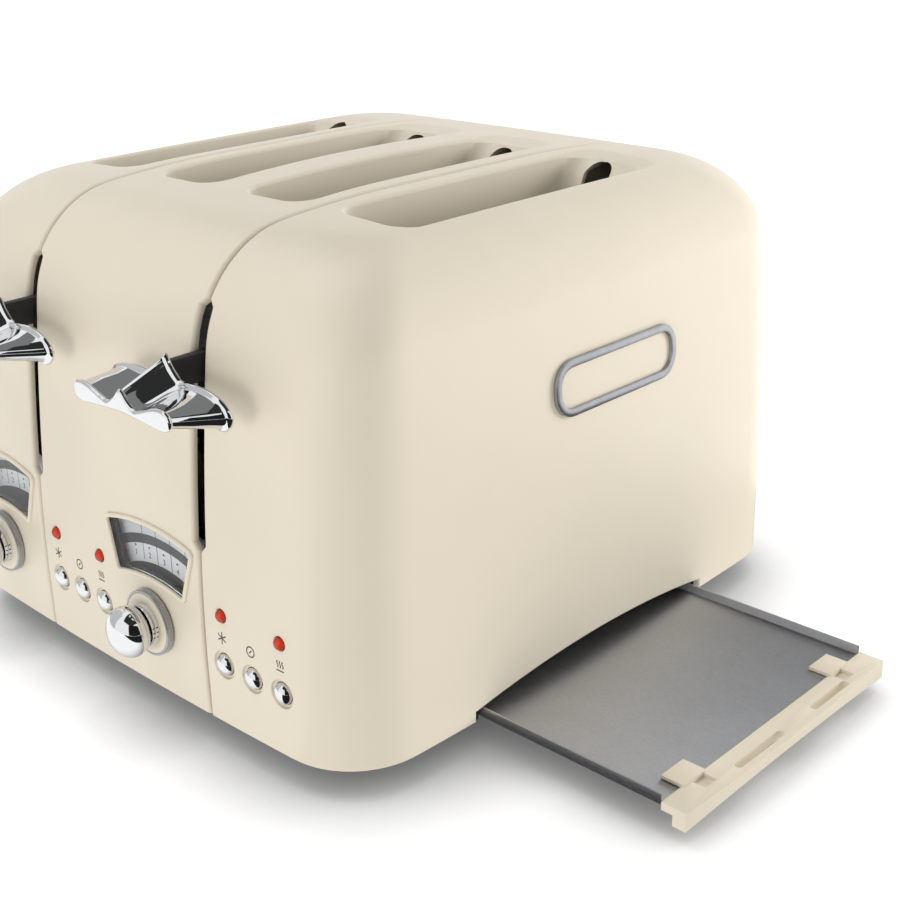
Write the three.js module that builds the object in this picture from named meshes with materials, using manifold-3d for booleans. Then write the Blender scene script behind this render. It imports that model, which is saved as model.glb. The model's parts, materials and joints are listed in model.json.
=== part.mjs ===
import * as THREE from 'three';
import { mergeVertices } from 'three/addons/utils/BufferGeometryUtils.js';
import Module from 'manifold-3d';

// Four-slice toaster: two like modules side by side, each with its own lever, knob, gauge and buttons.
// Millimetres. X runs across the slots, -Y is the front with the levers, +Z is up, the table is z = 0
// until the finished group is moved to the bottom centre of its own bounding box.

const wasm = await Module();
wasm.setup();

const { degToRad } = THREE.MathUtils;

// Common gaps
const SEAT_GAP = 0.3;
const SLIDE_GAP = 0.6;
const CUT = 1;

// Case
const CASE_WIDTH = 284;
const CASE_DEPTH = 294;
const CASE_TOP = 211;
const CASE_BOTTOM = 13.3;
const CASE_WALL = 3;
const CORNER_RADIUS = 34;
const FACE_BULGE = 2;
const CROWN_RISE = 4.75;
const FRONT_TOP_RADIUS = 48;
const REAR_TOP_RADIUS = 41;
const SIDE_TOP_RADIUS = 38.5;
const FRONT_LEAN = 9.9;
const REAR_LEAN = 2.5;
const SIDE_LEAN = 5.2;
const LEAN_START = 40;
const LEAN_POWER = 1.7;
const BOTTOM_ROLL = 1.2;
const SHOULDER_START = degToRad(8);
const SHOULDER_END = degToRad(84);
const SEAM_GAP = 1.2;
const SIDE_MARGIN = 28;

// Bread slots
const SLOT_Y = 4;
const THROAT_WIDTH = 31;
const THROAT_MARGIN = 71;
const THROAT_RADIUS = 5;
const THROAT_DEPTH = 25;
const LIP_FLARE = 4;
const LIP_RADIUS = 10;
const LIP_WALL = 2.2;
const NOTCH_WIDTH = 10;
const NOTCH_DROP = 10;
const NOTCH_DEPTH = 8;

// Base and feet
const FOOT_HEIGHT = 9.5;
const FOOT_RADIUS = 11;
const FOOT_SIDE_INSET = 38;
const FOOT_FACE_INSET = 39;
const BASE_THICKNESS = 3;
const BASE_INSET = 6;
const RIM_HEIGHT = 12;
const RIM_WALL = 3;
const RAIL_TOP = 22;
const REAR_RAIL_WIDTH = 16;

// Chamber sheets and what hangs between them
const SHEET = 1;
const CHAMBER_END = 7;
const SHEET_OVERHANG = 28;
const SHEET_DROP = 1;
const FLANGE_DEPTH = 28;
const HEATER_OFFSET = 20.5;
const HEATER_CARD = 1.2;
const HEATER_RIBBON = 0.6;
const HEATER_DROP = 17;
const HEATER_FOOT = 4;
const RIBBON_HEIGHT = 3;
const RIBBON_MARGIN = 12;
const GUARD_OFFSET = 14.5;
const GUARD_WIRE = 1.6;
const GUARD_BAR = 3;
const GUARD_PIVOT_Z = 30;
const GUARD_DROP = 20;
const GUARD_PIN_REACH = 2;
const PIN_HOLE_RADIUS = 2.2;

// Lever, carriage and its guide
const RACK_BELOW_STEM = 63;
const RACK_WIDTH = 10;
const RACK_THICKNESS = 1.5;
const RACK_END_GAP = 1.5;
const ARM_WIDTH = 3;
const ARM_DROP = 4;
const ARM_HEIGHT = 12;
const STEM_STOP_GAP = 1.5;
const LEVER_LIFT = 14;
const CARRIAGE_SETBACK = 16.5;
const CARRIAGE_SHEET = 2;
const CARRIAGE_DROP = 6;
const CARRIAGE_RISE = 16;
const CARRIAGE_MARGIN = 3;
const RISER_WIDTH = 14;
const STEM_WIDTH = 4.2;
const STEM_HEIGHT = 11;
const STEM_DROP = 22;
const LEVER_SLOT_GAP = 0.65;
const LEVER_SLOT_DROP = 30;
const LEVER_SLOT_BOTTOM = 88;
const GUIDE_X = -12;
const GUIDE_RADIUS = 2;
const GUIDE_BOSS = 10;
const SPRING_X = 12;
const SPRING_RADIUS = 3;
const HOOK_DROP = 24;
const LEVER_GAP = 12;
const LEVER_DEPTH = 22.5;
const LEVER_RIM = 2.4;
const LEVER_FRONT_RIM = 1.1;
const LEVER_RECESS = 1.2;
const LEVER_BACK = { half: 37, rise: 9, height: 23.2 };
const LEVER_FRONT = { half: 29, rise: 0.2, height: 9.6 };
const TONGUE_LENGTH = 8;
const TONGUE_WIDTH = 2.6;
const TONGUE_HEIGHT = 5;

// Outlines of the lever handle, as shares of its half width and height: a peak in the middle, a valley,
// a lobe whose end curls down, then the underside
const LEVER_BACK_SHARES = [
  [0, 1], [0.11, 0.79], [0.23, 0.63], [0.36, 0.62], [0.5, 0.63], [0.65, 0.62], [0.79, 0.57], [0.9, 0.49],
  [0.97, 0.38], [1, 0.25], [0.96, 0.1], [0.85, 0], [0.6, 0.08], [0.3, 0.16], [0, 0.2],
];
const LEVER_FRONT_SHARES = [
  [0, 1], [0.13, 0.66], [0.28, 0.39], [0.4, 0.47], [0.52, 0.6], [0.66, 0.75], [0.8, 0.83], [0.9, 0.8],
  [0.97, 0.66], [1, 0.42], [0.97, 0.16], [0.86, 0], [0.6, 0.03], [0.3, 0.1], [0, 0.15],
];

// Front controls, placed from the lever's own centre line
const KNOB_SHIFT = 4.05;
const KNOB_Z = 45;
const KNOB_FLANGE_RADIUS = 14.2;
const KNOB_FLANGE = 3.2;
const KNOB_NECK_RADIUS = 5.5;
const KNOB_NECK = 5;
const KNOB_DOME_RADIUS = 10.7;
const KNOB_DOME = 13.4;
const SHAFT_RADIUS = 3;
const GAUGE_CENTRE_Z = -17.3;
const GAUGE_OUTER = 105.7;
const GAUGE_INNER = 80.1;
const GAUGE_SIDE_GAP = 2.7;
const GAUGE_CORNER = 3;
const BEZEL_WALL = 2;
const BEZEL_GAP = 0.45;
const BEZEL_PROUD = 1.4;
const WINDOW_RECESS = 1.5;
const WINDOW_THICKNESS = 1;
const NEEDLE_GAP = 0.8;
const NEEDLE_THICKNESS = 0.8;
const NEEDLE_LENGTH = 30;
const NEEDLE_WIDTH = 1.5;
const NEEDLE_HUB_WALL = 2.4;
const NEEDLE_REST = degToRad(72);
const DIAL_GAP = 2.5;
const DIAL_THICKNESS = 1.2;
const DIAL_MARGIN = 1.5;
const DIAL_FOOT = 8;
const DIAL_FOOT_INSET = 5.25;
const BUTTON_Z = 41;
const BUTTON_FIRST_X = 12;
const BUTTON_PITCH_SHARE = 0.293;
const BUTTON_RADIUS = 4.5;
const BUTTON_DOME = 3.4;
const BUTTON_PROUD = 0.9;
const BUTTON_COLLAR_RADIUS = 6;
const BUTTON_COLLAR = 1.5;
const COLLAR_GAP = 1.2;
const BUTTON_STEM_RADIUS = 2;
const BUTTON_TRAVEL = 2;
const RECESS_RADIUS = 5.8;
const RECESS_DEPTH = 1.2;
const LAMP_Z = 62.5;
const LAMP_RADIUS = 2.6;
const LAMP_PROUD = 1.2;

// Control board
const POT_GAP = 0.6;
const BOARD_THICKNESS = 1.6;
const BOARD_TOP = 82;
const BOARD_INSET_LEFT = 11;
const BOARD_INSET_RIGHT = 3;
const POT_SIZE = 14;
const POT_DEPTH = 6;
const SWITCH_SIZE = 6;
const SWITCH_DEPTH = 2.6;

// Latch magnet
const MAGNET_WIDTH = 24;
const MAGNET_DEPTH = 15;
const MAGNET_LEFT = 4;
const MAGNET_GAP = 0.5;
const MAGNET_PLATE = 2;
const MAGNET_INSET = 3;

// Crumb tray, drawn out to the right
const TRAY_PULL = 97.5;
const TRAY_Y = -3;
const TRAY_MARGIN = 5;
const TRAY_SHEET = 0.8;
const TRAY_RIM = 3.9;
const TRAY_LIFT = 0.4;
const TRAY_INSET = 22;
const ARCH_MARGIN = 5;
const ARCH_END_Z = 18;
const ARCH_TOP_Z = 24.5;
const HANDLE_DEPTH = 13;
const HANDLE_TOP = 0.9;
const HANDLE_FLANGE = 3.5;
const HANDLE_SKIRT = 8.2;
const HANDLE_SKIRT_WALL = 6;
const HANDLE_BOW = 2;
const HANDLE_ARCH = 4;
const HANDLE_TAB_DEPTH = 9;
const HANDLE_TAB_WIDTH = 14;
const HANDLE_TAB_SHEET = 1.6;
const HANDLE_TAB_INSET = 19;
const HANDLE_SLOT_WIDTH = 3.4;
const HANDLE_SLOTS = [{ from: -38, to: -6 }, { from: 16, to: 43 }];
const CLIP_INSET = 21;
const CLIP_WIDTH = 7.5;
const CLIP_DEPTH = 6;

// Side plate and cord inlet
const PLATE_LENGTH = 76;
const PLATE_HEIGHT = 22;
const PLATE_CORNER = 5;
const PLATE_Y = 9;
const PLATE_DROP = 72;
const PLATE_THICKNESS = 1.8;
const GLAND_X = 40;
const GLAND_Z = 32;
const GLAND_RADIUS = 6;
const GLAND_FLANGE_RADIUS = 9;
const GLAND_FLANGE = 3;
const GLAND_BORE = 3.5;

// Counts of facets and repeats
const OUTER_STEPS = 6;
const INNER_STEPS = 3;
const ROUND = 20;
const SMALL_ROUND = 12;
const GUARD_BARS = 8;
const RIBBONS = 5;
const SECTOR_STEPS = 8;

// Sizes that follow from those above
const halfWidth = CASE_WIDTH / 2;
const halfDepth = CASE_DEPTH / 2;
const slotPitch = (CASE_WIDTH - 2 * SIDE_MARGIN) / 4;
const seamX = slotPitch;
const slotOffset = slotPitch / 2;
const throatZ = CASE_TOP - THROAT_DEPTH;
const notchTop = CASE_TOP - NOTCH_DROP;
const sheetTop = throatZ - SHEET_DROP;
const heaterTop = sheetTop - HEATER_DROP;
const guardTop = sheetTop - GUARD_DROP;
const leverSlotTop = CASE_TOP - LEVER_SLOT_DROP;
const stemZ = leverSlotTop - STEM_DROP;
const leverDrop = stemZ - STEM_HEIGHT / 2 - STEM_STOP_GAP - LEVER_SLOT_BOTTOM;
const rackZ = stemZ - RACK_BELOW_STEM;
const hookTop = stemZ - HOOK_DROP;
const plateZ = CASE_TOP - PLATE_DROP;
const footX = halfWidth - FOOT_SIDE_INSET;
const footY = halfDepth - FOOT_FACE_INSET;
const knobOffset = slotOffset + KNOB_SHIFT;
const gaugeHalf = knobOffset - GAUGE_SIDE_GAP;
const gaugeHalfAngle = Math.asin(gaugeHalf / GAUGE_OUTER);
const buttonPitch = slotPitch * BUTTON_PITCH_SHARE;
const trayInnerX = halfWidth - TRAY_INSET;
const throatLength = CASE_DEPTH - 2 * THROAT_MARGIN;
const trayHalf = throatLength / 2 - TRAY_MARGIN;
const chamberFront = SLOT_Y - throatLength / 2 - CHAMBER_END;
const chamberRear = SLOT_Y + throatLength / 2 + CHAMBER_END;
const baseTop = FOOT_HEIGHT + BASE_THICKNESS;
const slotOuterX = seamX + slotOffset;
const slotXs = [-slotOuterX, slotOffset - seamX, seamX - slotOffset, slotOuterX];
const sheetHalf = seamX + slotOffset + SHEET_OVERHANG;
const modules = [{ side: 'left', x: -seamX }, { side: 'right', x: seamX }];
const railInner = trayHalf + SLIDE_GAP;
const closedHandleX = halfWidth - HANDLE_DEPTH;

// Materials
function finish(color, roughness, metalness) {
  return new THREE.MeshStandardMaterial({ color, roughness, metalness });
}
const cream = finish(0xe2d9c6, 0.42, 0);
const chrome = finish(0xd8dadd, 0.08, 1);
const steel = finish(0xa9abad, 0.35, 1);
const black = finish(0x1d1c1b, 0.5, 0);
const mica = finish(0xb7a98c, 0.6, 0);
const board = finish(0x2f5a35, 0.5, 0);
const dialWhite = finish(0xd5d6d4, 0.5, 0);
const clear = finish(0xf2f4f4, 0.05, 0);
clear.transparent = true;
clear.opacity = 0.3;
const lampRed = finish(0xd8321a, 0.2, 0);
const copper = finish(0x9c5a30, 0.4, 1);
const rubber = finish(0x2a2928, 0.85, 0);

// Solids: closed geometries in and out of the boolean library
function solid(geometry) {
  const bare = geometry.clone();
  bare.deleteAttribute('normal');
  bare.deleteAttribute('uv');
  const merged = mergeVertices(bare);
  return new wasm.Manifold(new wasm.Mesh({
    numProp: 3,
    vertProperties: new Float32Array(merged.attributes.position.array),
    triVerts: new Uint32Array(merged.index.array),
  }));
}

function geometryOf(body) {
  const { vertProperties, triVerts } = body.getMesh();
  const geometry = new THREE.BufferGeometry();
  geometry.setAttribute('position', new THREE.BufferAttribute(vertProperties, 3));
  geometry.setIndex(new THREE.BufferAttribute(triVerts, 1));
  geometry.computeVertexNormals();
  return geometry;
}

const join = (...bodies) => bodies.reduce((whole, next) => whole.add(next));
const cut = (body, ...tools) => tools.reduce((rest, tool) => rest.subtract(tool), body);

function box(x0, x1, y0, y1, z0, z1) {
  const geometry = new THREE.BoxGeometry(x1 - x0, y1 - y0, z1 - z0);
  return solid(geometry.translate((x0 + x1) / 2, (y0 + y1) / 2, (z0 + z1) / 2));
}

// An outline pushed along one axis: its two coordinates are the other two axes, in alphabetical order
function prism(axis, points, from, to) {
  const shape = new THREE.Shape(points.map(([u, v]) => new THREE.Vector2(u, v)));
  const geometry = new THREE.ExtrudeGeometry(shape, { depth: to - from, bevelEnabled: false });
  geometry.translate(0, 0, from);
  if (axis === 'x') {
    geometry.applyMatrix4(new THREE.Matrix4().makeBasis(
      new THREE.Vector3(0, 1, 0), new THREE.Vector3(0, 0, 1), new THREE.Vector3(1, 0, 0)));
  }
  if (axis === 'y') {
    geometry.translate(0, 0, -from - to).rotateX(Math.PI / 2);
  }
  return solid(geometry);
}

function slab(axis, points, from, to, holes = []) {
  return cut(prism(axis, points, from, to), ...holes.map((hole) => prism(axis, hole, from - CUT, to + CUT)));
}

function circle(cu, cv, radius, steps = ROUND) {
  return Array.from({ length: steps }, (_, i) => {
    const angle = (2 * Math.PI * i) / steps;
    return [cu + radius * Math.cos(angle), cv + radius * Math.sin(angle)];
  });
}

const rod = (axis, cu, cv, radius, from, to, steps) => slab(axis, circle(cu, cv, radius, steps), from, to);

// A round hole's tool: its flats, not its corners, keep the radius
function bore(axis, cu, cv, radius, from, to, steps = SMALL_ROUND) {
  return rod(axis, cu, cv, radius / Math.cos(Math.PI / steps), from, to, steps);
}

const rectangle = (u0, u1, v0, v1) => [[u0, v0], [u1, v0], [u1, v1], [u0, v1]];

function roundRect(cu, cv, width, height, radius, steps = 4) {
  const points = [];
  const corners = [[1, 1], [-1, 1], [-1, -1], [1, -1]];
  corners.forEach(([su, sv], quadrant) => {
    for (let i = 0; i <= steps; i += 1) {
      const angle = (Math.PI / 2) * (quadrant + i / steps);
      points.push([
        cu + su * (width / 2 - radius) + radius * Math.cos(angle),
        cv + sv * (height / 2 - radius) + radius * Math.sin(angle),
      ]);
    }
  });
  return points;
}

// A closed skin through rings of equal length, each ring above the last and anticlockwise from above
function loft(rings) {
  const count = rings[0].length;
  const positions = rings.flat();
  const index = [];
  for (let ring = 0; ring + 1 < rings.length; ring += 1) {
    for (let i = 0; i < count; i += 1) {
      const a = ring * count + i;
      const b = ring * count + ((i + 1) % count);
      index.push(a, b, b + count, a, b + count, a + count);
    }
  }
  const centreOf = (ring) => [0, 1, 2].map((k) => ring.reduce((sum, point) => sum + point[k], 0) / count);
  const bottom = positions.length;
  positions.push(centreOf(rings[0]), centreOf(rings[rings.length - 1]));
  const lastRing = (rings.length - 1) * count;
  for (let i = 0; i < count; i += 1) {
    const next = (i + 1) % count;
    index.push(bottom, next, i, bottom + 1, lastRing + i, lastRing + next);
  }
  const geometry = new THREE.BufferGeometry();
  geometry.setAttribute('position', new THREE.Float32BufferAttribute(positions.flat(), 3));
  geometry.setIndex(index);
  return solid(geometry);
}

// A body of revolution about Y: the profile runs from the front, [distance behind the origin, radius]
function turned(profile, x, y, z, steps) {
  const points = profile.map(([along, radius]) => new THREE.Vector2(radius, along));
  const geometry = new THREE.LatheGeometry(points, steps);
  return solid(geometry.translate(x, y, z));
}

// Case surface
function leanAt(z, lean, startZ) {
  const share = Math.max(0, (z - LEAN_START) / (startZ - LEAN_START));
  return lean * share ** LEAN_POWER;
}

// The hollow side of the wall needs fewer facets than the outside
const stepsFor = (inset) => (inset < CASE_WALL ? OUTER_STEPS : INNER_STEPS);

// Outward reach and height of one face from the bottom edge, over the shoulder, to the crown
function faceProfile(half, lean, topRadius, inset) {
  const radius = topRadius - inset;
  const shoulderZ = CASE_TOP - CROWN_RISE - inset;
  const arcZ = shoulderZ - radius * Math.sin(SHOULDER_END);
  const startZ = arcZ + radius * Math.sin(SHOULDER_START);
  const arcOut = half - inset - lean - radius * Math.cos(SHOULDER_START);
  const opens = inset > 0;
  const bottom = opens ? CASE_BOTTOM - CUT : CASE_BOTTOM;
  const wallShares = opens ? [0, 0.2, 0.5, 0.8] : [0, 0.02, 0.2, 0.5, 0.8];
  const crownShares = [0.7, 0.35];
  const levels = wallShares.map((share, i) => {
    const z = bottom + share * (startZ - bottom);
    const roll = i === 0 && !opens ? BOTTOM_ROLL : 0;
    return { out: half - inset - leanAt(z, lean, startZ) - roll, z };
  });
  const steps = stepsFor(inset);
  for (let i = 0; i <= steps; i += 1) {
    const angle = SHOULDER_START + (i / steps) * (SHOULDER_END - SHOULDER_START);
    levels.push({ out: arcOut + radius * Math.cos(angle), z: arcZ + radius * Math.sin(angle) });
  }
  const edge = levels[levels.length - 1];
  for (const share of crownShares) {
    levels.push({ out: edge.out * share, z: edge.z + CROWN_RISE * (1 - share * share) });
  }
  return levels;
}

// Rounded plan outline: each point's place and how far it belongs to the front face rather than the side
function planOutline(inset) {
  const a = halfWidth - inset;
  const b = halfDepth - inset;
  const radius = CORNER_RADIUS - inset;
  const cornerX = a - FACE_BULGE - radius;
  const cornerY = b - FACE_BULGE - radius;
  const bulgeAt = (share) => FACE_BULGE * share * share;
  const faceShares = [0, 0.5];
  const quarter = faceShares.map((share) => ({ x: a - bulgeAt(share), y: cornerY * share, front: 0 }));
  const steps = stepsFor(inset);
  for (let i = 0; i <= steps; i += 1) {
    const angle = (Math.PI / 2) * (i / steps);
    quarter.push({
      x: cornerX + radius * Math.cos(angle),
      y: cornerY + radius * Math.sin(angle),
      front: Math.sin(angle) ** 2,
    });
  }
  const midShare = 0.5;
  quarter.push({ x: cornerX * midShare, y: b - bulgeAt(midShare), front: 1 });
  const top = { x: 0, y: b, front: 1 };
  const right = quarter.concat(top);
  const left = quarter.slice().reverse().map((p) => ({ ...p, x: -p.x }));
  const upper = right.concat(left);
  const lower = upper.slice(1, -1).reverse().map((p) => ({ ...p, y: -p.y }));
  return upper.concat(lower);
}

function caseSolid(inset) {
  const outline = planOutline(inset);
  const front = faceProfile(halfDepth, FRONT_LEAN, FRONT_TOP_RADIUS, inset);
  const rear = faceProfile(halfDepth, REAR_LEAN, REAR_TOP_RADIUS, inset);
  const side = faceProfile(halfWidth, SIDE_LEAN, SIDE_TOP_RADIUS, inset);
  const rings = side.map((level, i) => outline.map((point) => {
    const face = point.y < 0 ? front[i] : rear[i];
    return [
      point.x * (level.out / (halfWidth - inset)),
      point.y * (face.out / (halfDepth - inset)),
      point.front * face.z + (1 - point.front) * level.z,
    ];
  }));
  return loft(rings);
}

// Where the outer front face lies at a place across it and a height
function frontFace(x, z) {
  const shoulderZ = CASE_TOP - CROWN_RISE;
  const startZ = shoulderZ - FRONT_TOP_RADIUS * (Math.sin(SHOULDER_END) - Math.sin(SHOULDER_START));
  const flat = halfWidth - FACE_BULGE - CORNER_RADIUS;
  const share = Math.min(Math.abs(x) / flat, 1);
  const round = CORNER_RADIUS - Math.sqrt(CORNER_RADIUS ** 2 - Math.max(0, Math.abs(x) - flat) ** 2);
  return -(halfDepth - FACE_BULGE * share * share - round) * (1 - leanAt(z, FRONT_LEAN, startZ) / halfDepth);
}

// Foremost and hindmost places of that face within a reach to the left and right, above and below
const signs = [-1, 1];
const around = (x, z, reach) => signs.flatMap(
  (sx) => signs.map((sz) => frontFace(x + sx * reach, z + sz * reach)));
const foremost = (x, z, reach) => Math.min(...around(x, z, reach));
const hindmost = (x, z, reach) => Math.max(...around(x, z, reach));

// Slots through the top
const throatTop = CASE_TOP + CUT;

function slotLoft(x, grow, from, to) {
  const rings = [from, to].map((z) => {
    const share = (z - throatZ) / (throatTop - throatZ);
    const flare = 2 * (grow + LIP_FLARE * share);
    const radius = THROAT_RADIUS + grow + (LIP_RADIUS - THROAT_RADIUS) * Math.max(0, share);
    const outline = roundRect(x, SLOT_Y, THROAT_WIDTH + flare, throatLength + flare, radius);
    return outline.map(([u, v]) => [u, v, z]);
  });
  return loft(rings);
}

function notch(x) {
  const radius = NOTCH_WIDTH / 2;
  const outline = [[x - radius, throatZ - CUT], [x + radius, throatZ - CUT]];
  const arcPoints = 6;
  for (let i = 0; i <= arcPoints; i += 1) {
    const angle = Math.PI * (i / arcPoints);
    outline.push([x + radius * Math.cos(angle), notchTop - radius + radius * Math.sin(angle)]);
  }
  const reach = throatLength / 2 + NOTCH_DEPTH;
  return slab('y', outline, SLOT_Y - reach, SLOT_Y + reach);
}

// Annular sector of the gauge, grown outward, about the module's knob line
function sector(x, grow) {
  const outer = GAUGE_OUTER + grow;
  const inner = GAUGE_INNER - grow;
  const points = [];
  const trim = GAUGE_CORNER + Math.max(grow, 0);
  const arc = (radius, from, to) => {
    for (let i = 0; i <= SECTOR_STEPS; i += 1) {
      const angle = from + (to - from) * (i / SECTOR_STEPS);
      points.push([x + radius * Math.sin(angle), GAUGE_CENTRE_Z + radius * Math.cos(angle)]);
    }
  };
  const outerEdge = gaugeHalfAngle + Math.asin(grow / outer);
  const innerEdge = gaugeHalfAngle + Math.asin(grow / inner);
  const outerTrim = trim / outer;
  const innerTrim = trim / inner;
  arc(inner, -innerEdge + innerTrim, innerEdge - innerTrim);
  points.push([
    x + (inner + trim) * Math.sin(innerEdge), GAUGE_CENTRE_Z + (inner + trim) * Math.cos(innerEdge)]);
  points.push([
    x + (outer - trim) * Math.sin(outerEdge), GAUGE_CENTRE_Z + (outer - trim) * Math.cos(outerEdge)]);
  arc(outer, outerEdge - outerTrim, -outerEdge + outerTrim);
  points.push([
    x - (outer - trim) * Math.sin(outerEdge), GAUGE_CENTRE_Z + (outer - trim) * Math.cos(outerEdge)]);
  points.push([
    x - (inner + trim) * Math.sin(innerEdge), GAUGE_CENTRE_Z + (inner + trim) * Math.cos(innerEdge)]);
  return points;
}

const knobX = (module) => module.x - knobOffset;
const dialReach = gaugeHalf + DIAL_MARGIN;
const dialTop = GAUGE_CENTRE_Z + GAUGE_OUTER + DIAL_MARGIN;
const dialFace = (module) => {
  const corners = [-dialReach, dialReach].map((reach) => frontFace(knobX(module) + reach, dialTop));
  return Math.max(...corners) + CASE_WALL + DIAL_GAP;
};
const boardFront = Math.max(...modules.map(dialFace)) + DIAL_THICKNESS + POT_GAP + POT_DEPTH;
const buttonX = (module, i) => module.x + BUTTON_FIRST_X + buttonPitch * i;
const buttonNames = ['defrost', 'cancel', 'reheat'];
const lampNames = { 0: 'defrost', 2: 'reheat' };

// Everything cut through the front of the case for one module
function frontCuts(module) {
  const through = frontFace(0, CASE_BOTTOM) - CUT;
  const inside = through + 2 * CASE_WALL + FRONT_LEAN + FACE_BULGE + 2 * CUT;
  const slotHalf = STEM_WIDTH / 2 + LEVER_SLOT_GAP;
  const leverSlot = rectangle(module.x - slotHalf, module.x + slotHalf, LEVER_SLOT_BOTTOM, leverSlotTop);
  const cuts = [
    slab('y', leverSlot, through, inside),
    slab('y', sector(knobX(module), BEZEL_GAP), through, inside),
    bore('y', knobX(module), KNOB_Z, SHAFT_RADIUS + SEAT_GAP, through, inside),
  ];
  buttonNames.forEach((name, i) => {
    const x = buttonX(module, i);
    const floor = frontFace(x, BUTTON_Z) + RECESS_DEPTH;
    cuts.push(bore('y', x, BUTTON_Z, BUTTON_RADIUS + SEAT_GAP, through, inside));
    cuts.push(bore('y', x, BUTTON_Z, RECESS_RADIUS, through, floor));
  });
  for (const i of Object.keys(lampNames)) {
    cuts.push(bore('y', buttonX(module, Number(i)), LAMP_Z, LAMP_RADIUS + SEAT_GAP, through, inside));
  }
  return cuts;
}

// Low arch in the right-hand wall that the tray passes under
function trayArch() {
  const half = trayHalf + ARCH_MARGIN;
  const rise = ARCH_TOP_Z - ARCH_END_Z;
  const points = [[TRAY_Y - half, CASE_BOTTOM - CUT], [TRAY_Y + half, CASE_BOTTOM - CUT]];
  const arcPoints = 10;
  for (let i = 0; i <= arcPoints; i += 1) {
    const share = 1 - (2 * i) / arcPoints;
    points.push([TRAY_Y + half * share, ARCH_TOP_Z - rise * share * share]);
  }
  return slab('x', points, halfWidth - SIDE_LEAN - FACE_BULGE - 2 * CASE_WALL, halfWidth + CUT);
}

function caseSections() {
  const outer = caseSolid(0);
  let skin = outer.subtract(caseSolid(CASE_WALL));
  for (const x of slotXs) {
    skin = skin.add(slotLoft(x, LIP_WALL, throatZ, CASE_TOP - CROWN_RISE).intersect(outer));
  }
  const slots = slotXs.map((x) => slotLoft(x, 0, throatZ - CUT, throatTop));
  skin = cut(skin, ...slots, ...slotXs.map(notch), ...modules.flatMap(frontCuts), trayArch());
  const inlet = bore('y', GLAND_X, GLAND_Z, GLAND_RADIUS + SEAT_GAP, halfDepth - 2 * CASE_WALL,
    halfDepth + CUT);
  skin = skin.subtract(inlet);
  const far = CASE_WIDTH;
  const split = (x0, x1) => skin.intersect(box(x0, x1, -far, far, 0, far));
  const half = SEAM_GAP / 2;
  return {
    left_end_shell: split(-far, -seamX - half),
    centre_shell: split(-seamX + half, seamX - half),
    right_end_shell: split(seamX + half, far),
  };
}

// Base: floor plate, standing rim inside the case, two tray rails and a stop wall
function basePlate() {
  const plan = (inset) => planOutline(inset).map((point) => [point.x, point.y]);
  const rimOuter = CASE_WALL + SEAT_GAP;
  let base = slab('z', plan(BASE_INSET), FOOT_HEIGHT, baseTop);
  const rimTop = baseTop + RIM_HEIGHT;
  base = base.add(slab('z', plan(rimOuter), baseTop - CUT, rimTop, [plan(rimOuter + RIM_WALL)]));
  const frontRail = box(-trayInnerX, closedHandleX - SEAT_GAP, chamberFront - SHEET - LIP_WALL,
    TRAY_Y - railInner, baseTop - CUT, RAIL_TOP);
  const rearRail = box(-trayInnerX, closedHandleX - SEAT_GAP, TRAY_Y + railInner,
    chamberRear + REAR_RAIL_WIDTH / 4, baseTop - CUT, RAIL_TOP);
  const stop = box(-trayInnerX - RIM_WALL, -trayInnerX, TRAY_Y - railInner - RIM_WALL,
    TRAY_Y + railInner + RIM_WALL, baseTop - CUT, RAIL_TOP);
  base = join(base, frontRail, rearRail, stop);
  const mouth = box(closedHandleX - SEAT_GAP, CASE_WIDTH, TRAY_Y - railInner, TRAY_Y + railInner, 0,
    rimTop + CUT);
  return base.subtract(mouth);
}

// Sheet with a slit for each rack arm and a hole for each guard pin
function chamberSheet(face, flanged) {
  const slitBottom = rackZ - ARM_DROP - leverDrop - CUT;
  const slitTop = rackZ - ARM_DROP + ARM_HEIGHT + LEVER_LIFT + CUT;
  const slitHalf = ARM_WIDTH / 2 + SLIDE_GAP;
  const holes = [];
  for (const x of slotXs) {
    holes.push(rectangle(x - slitHalf, x + slitHalf, slitBottom, slitTop));
    for (const sign of [-1, 1]) {
      holes.push(circle(x + sign * GUARD_OFFSET, GUARD_PIVOT_Z, PIN_HOLE_RADIUS, 8));
    }
  }
  const outline = rectangle(-sheetHalf, sheetHalf, RAIL_TOP + SEAT_GAP, sheetTop);
  let sheet = slab('y', outline, face - SHEET / 2, face + SHEET / 2, holes);
  if (flanged) {
    sheet = sheet.add(box(-sheetHalf, sheetHalf, face - FLANGE_DEPTH, face, sheetTop - SHEET, sheetTop));
    for (const { x } of modules) {
      sheet = sheet.subtract(bore('z', x + GUIDE_X, guideY, GUIDE_RADIUS + SEAT_GAP, sheetTop - 2 * SHEET,
        sheetTop + SHEET));
    }
  }
  return sheet;
}

const frontSheetY = chamberFront - SHEET / 2;
const rearSheetY = chamberRear + SHEET / 2;
const plateBack = frontSheetY - CARRIAGE_SETBACK;
const plateFront = plateBack - CARRIAGE_SHEET;
const guideY = plateFront - GUIDE_BOSS / 2;

// Mica card with its flat heating ribbons
function heaterCard(x) {
  const front = chamberFront + SEAT_GAP;
  const rear = chamberRear - SEAT_GAP;
  const bottom = RAIL_TOP + HEATER_FOOT;
  const bodies = [box(x - HEATER_CARD / 2, x + HEATER_CARD / 2, front, rear, bottom, heaterTop)];
  const pitch = (heaterTop - bottom) / (RIBBONS + 1);
  const reach = HEATER_CARD / 2 + HEATER_RIBBON;
  for (let i = 1; i <= RIBBONS; i += 1) {
    const z = bottom + pitch * i;
    bodies.push(box(x - reach, x + reach, front + RIBBON_MARGIN, rear - RIBBON_MARGIN,
      z - RIBBON_HEIGHT / 2, z + RIBBON_HEIGHT / 2));
  }
  return join(...bodies);
}

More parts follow.
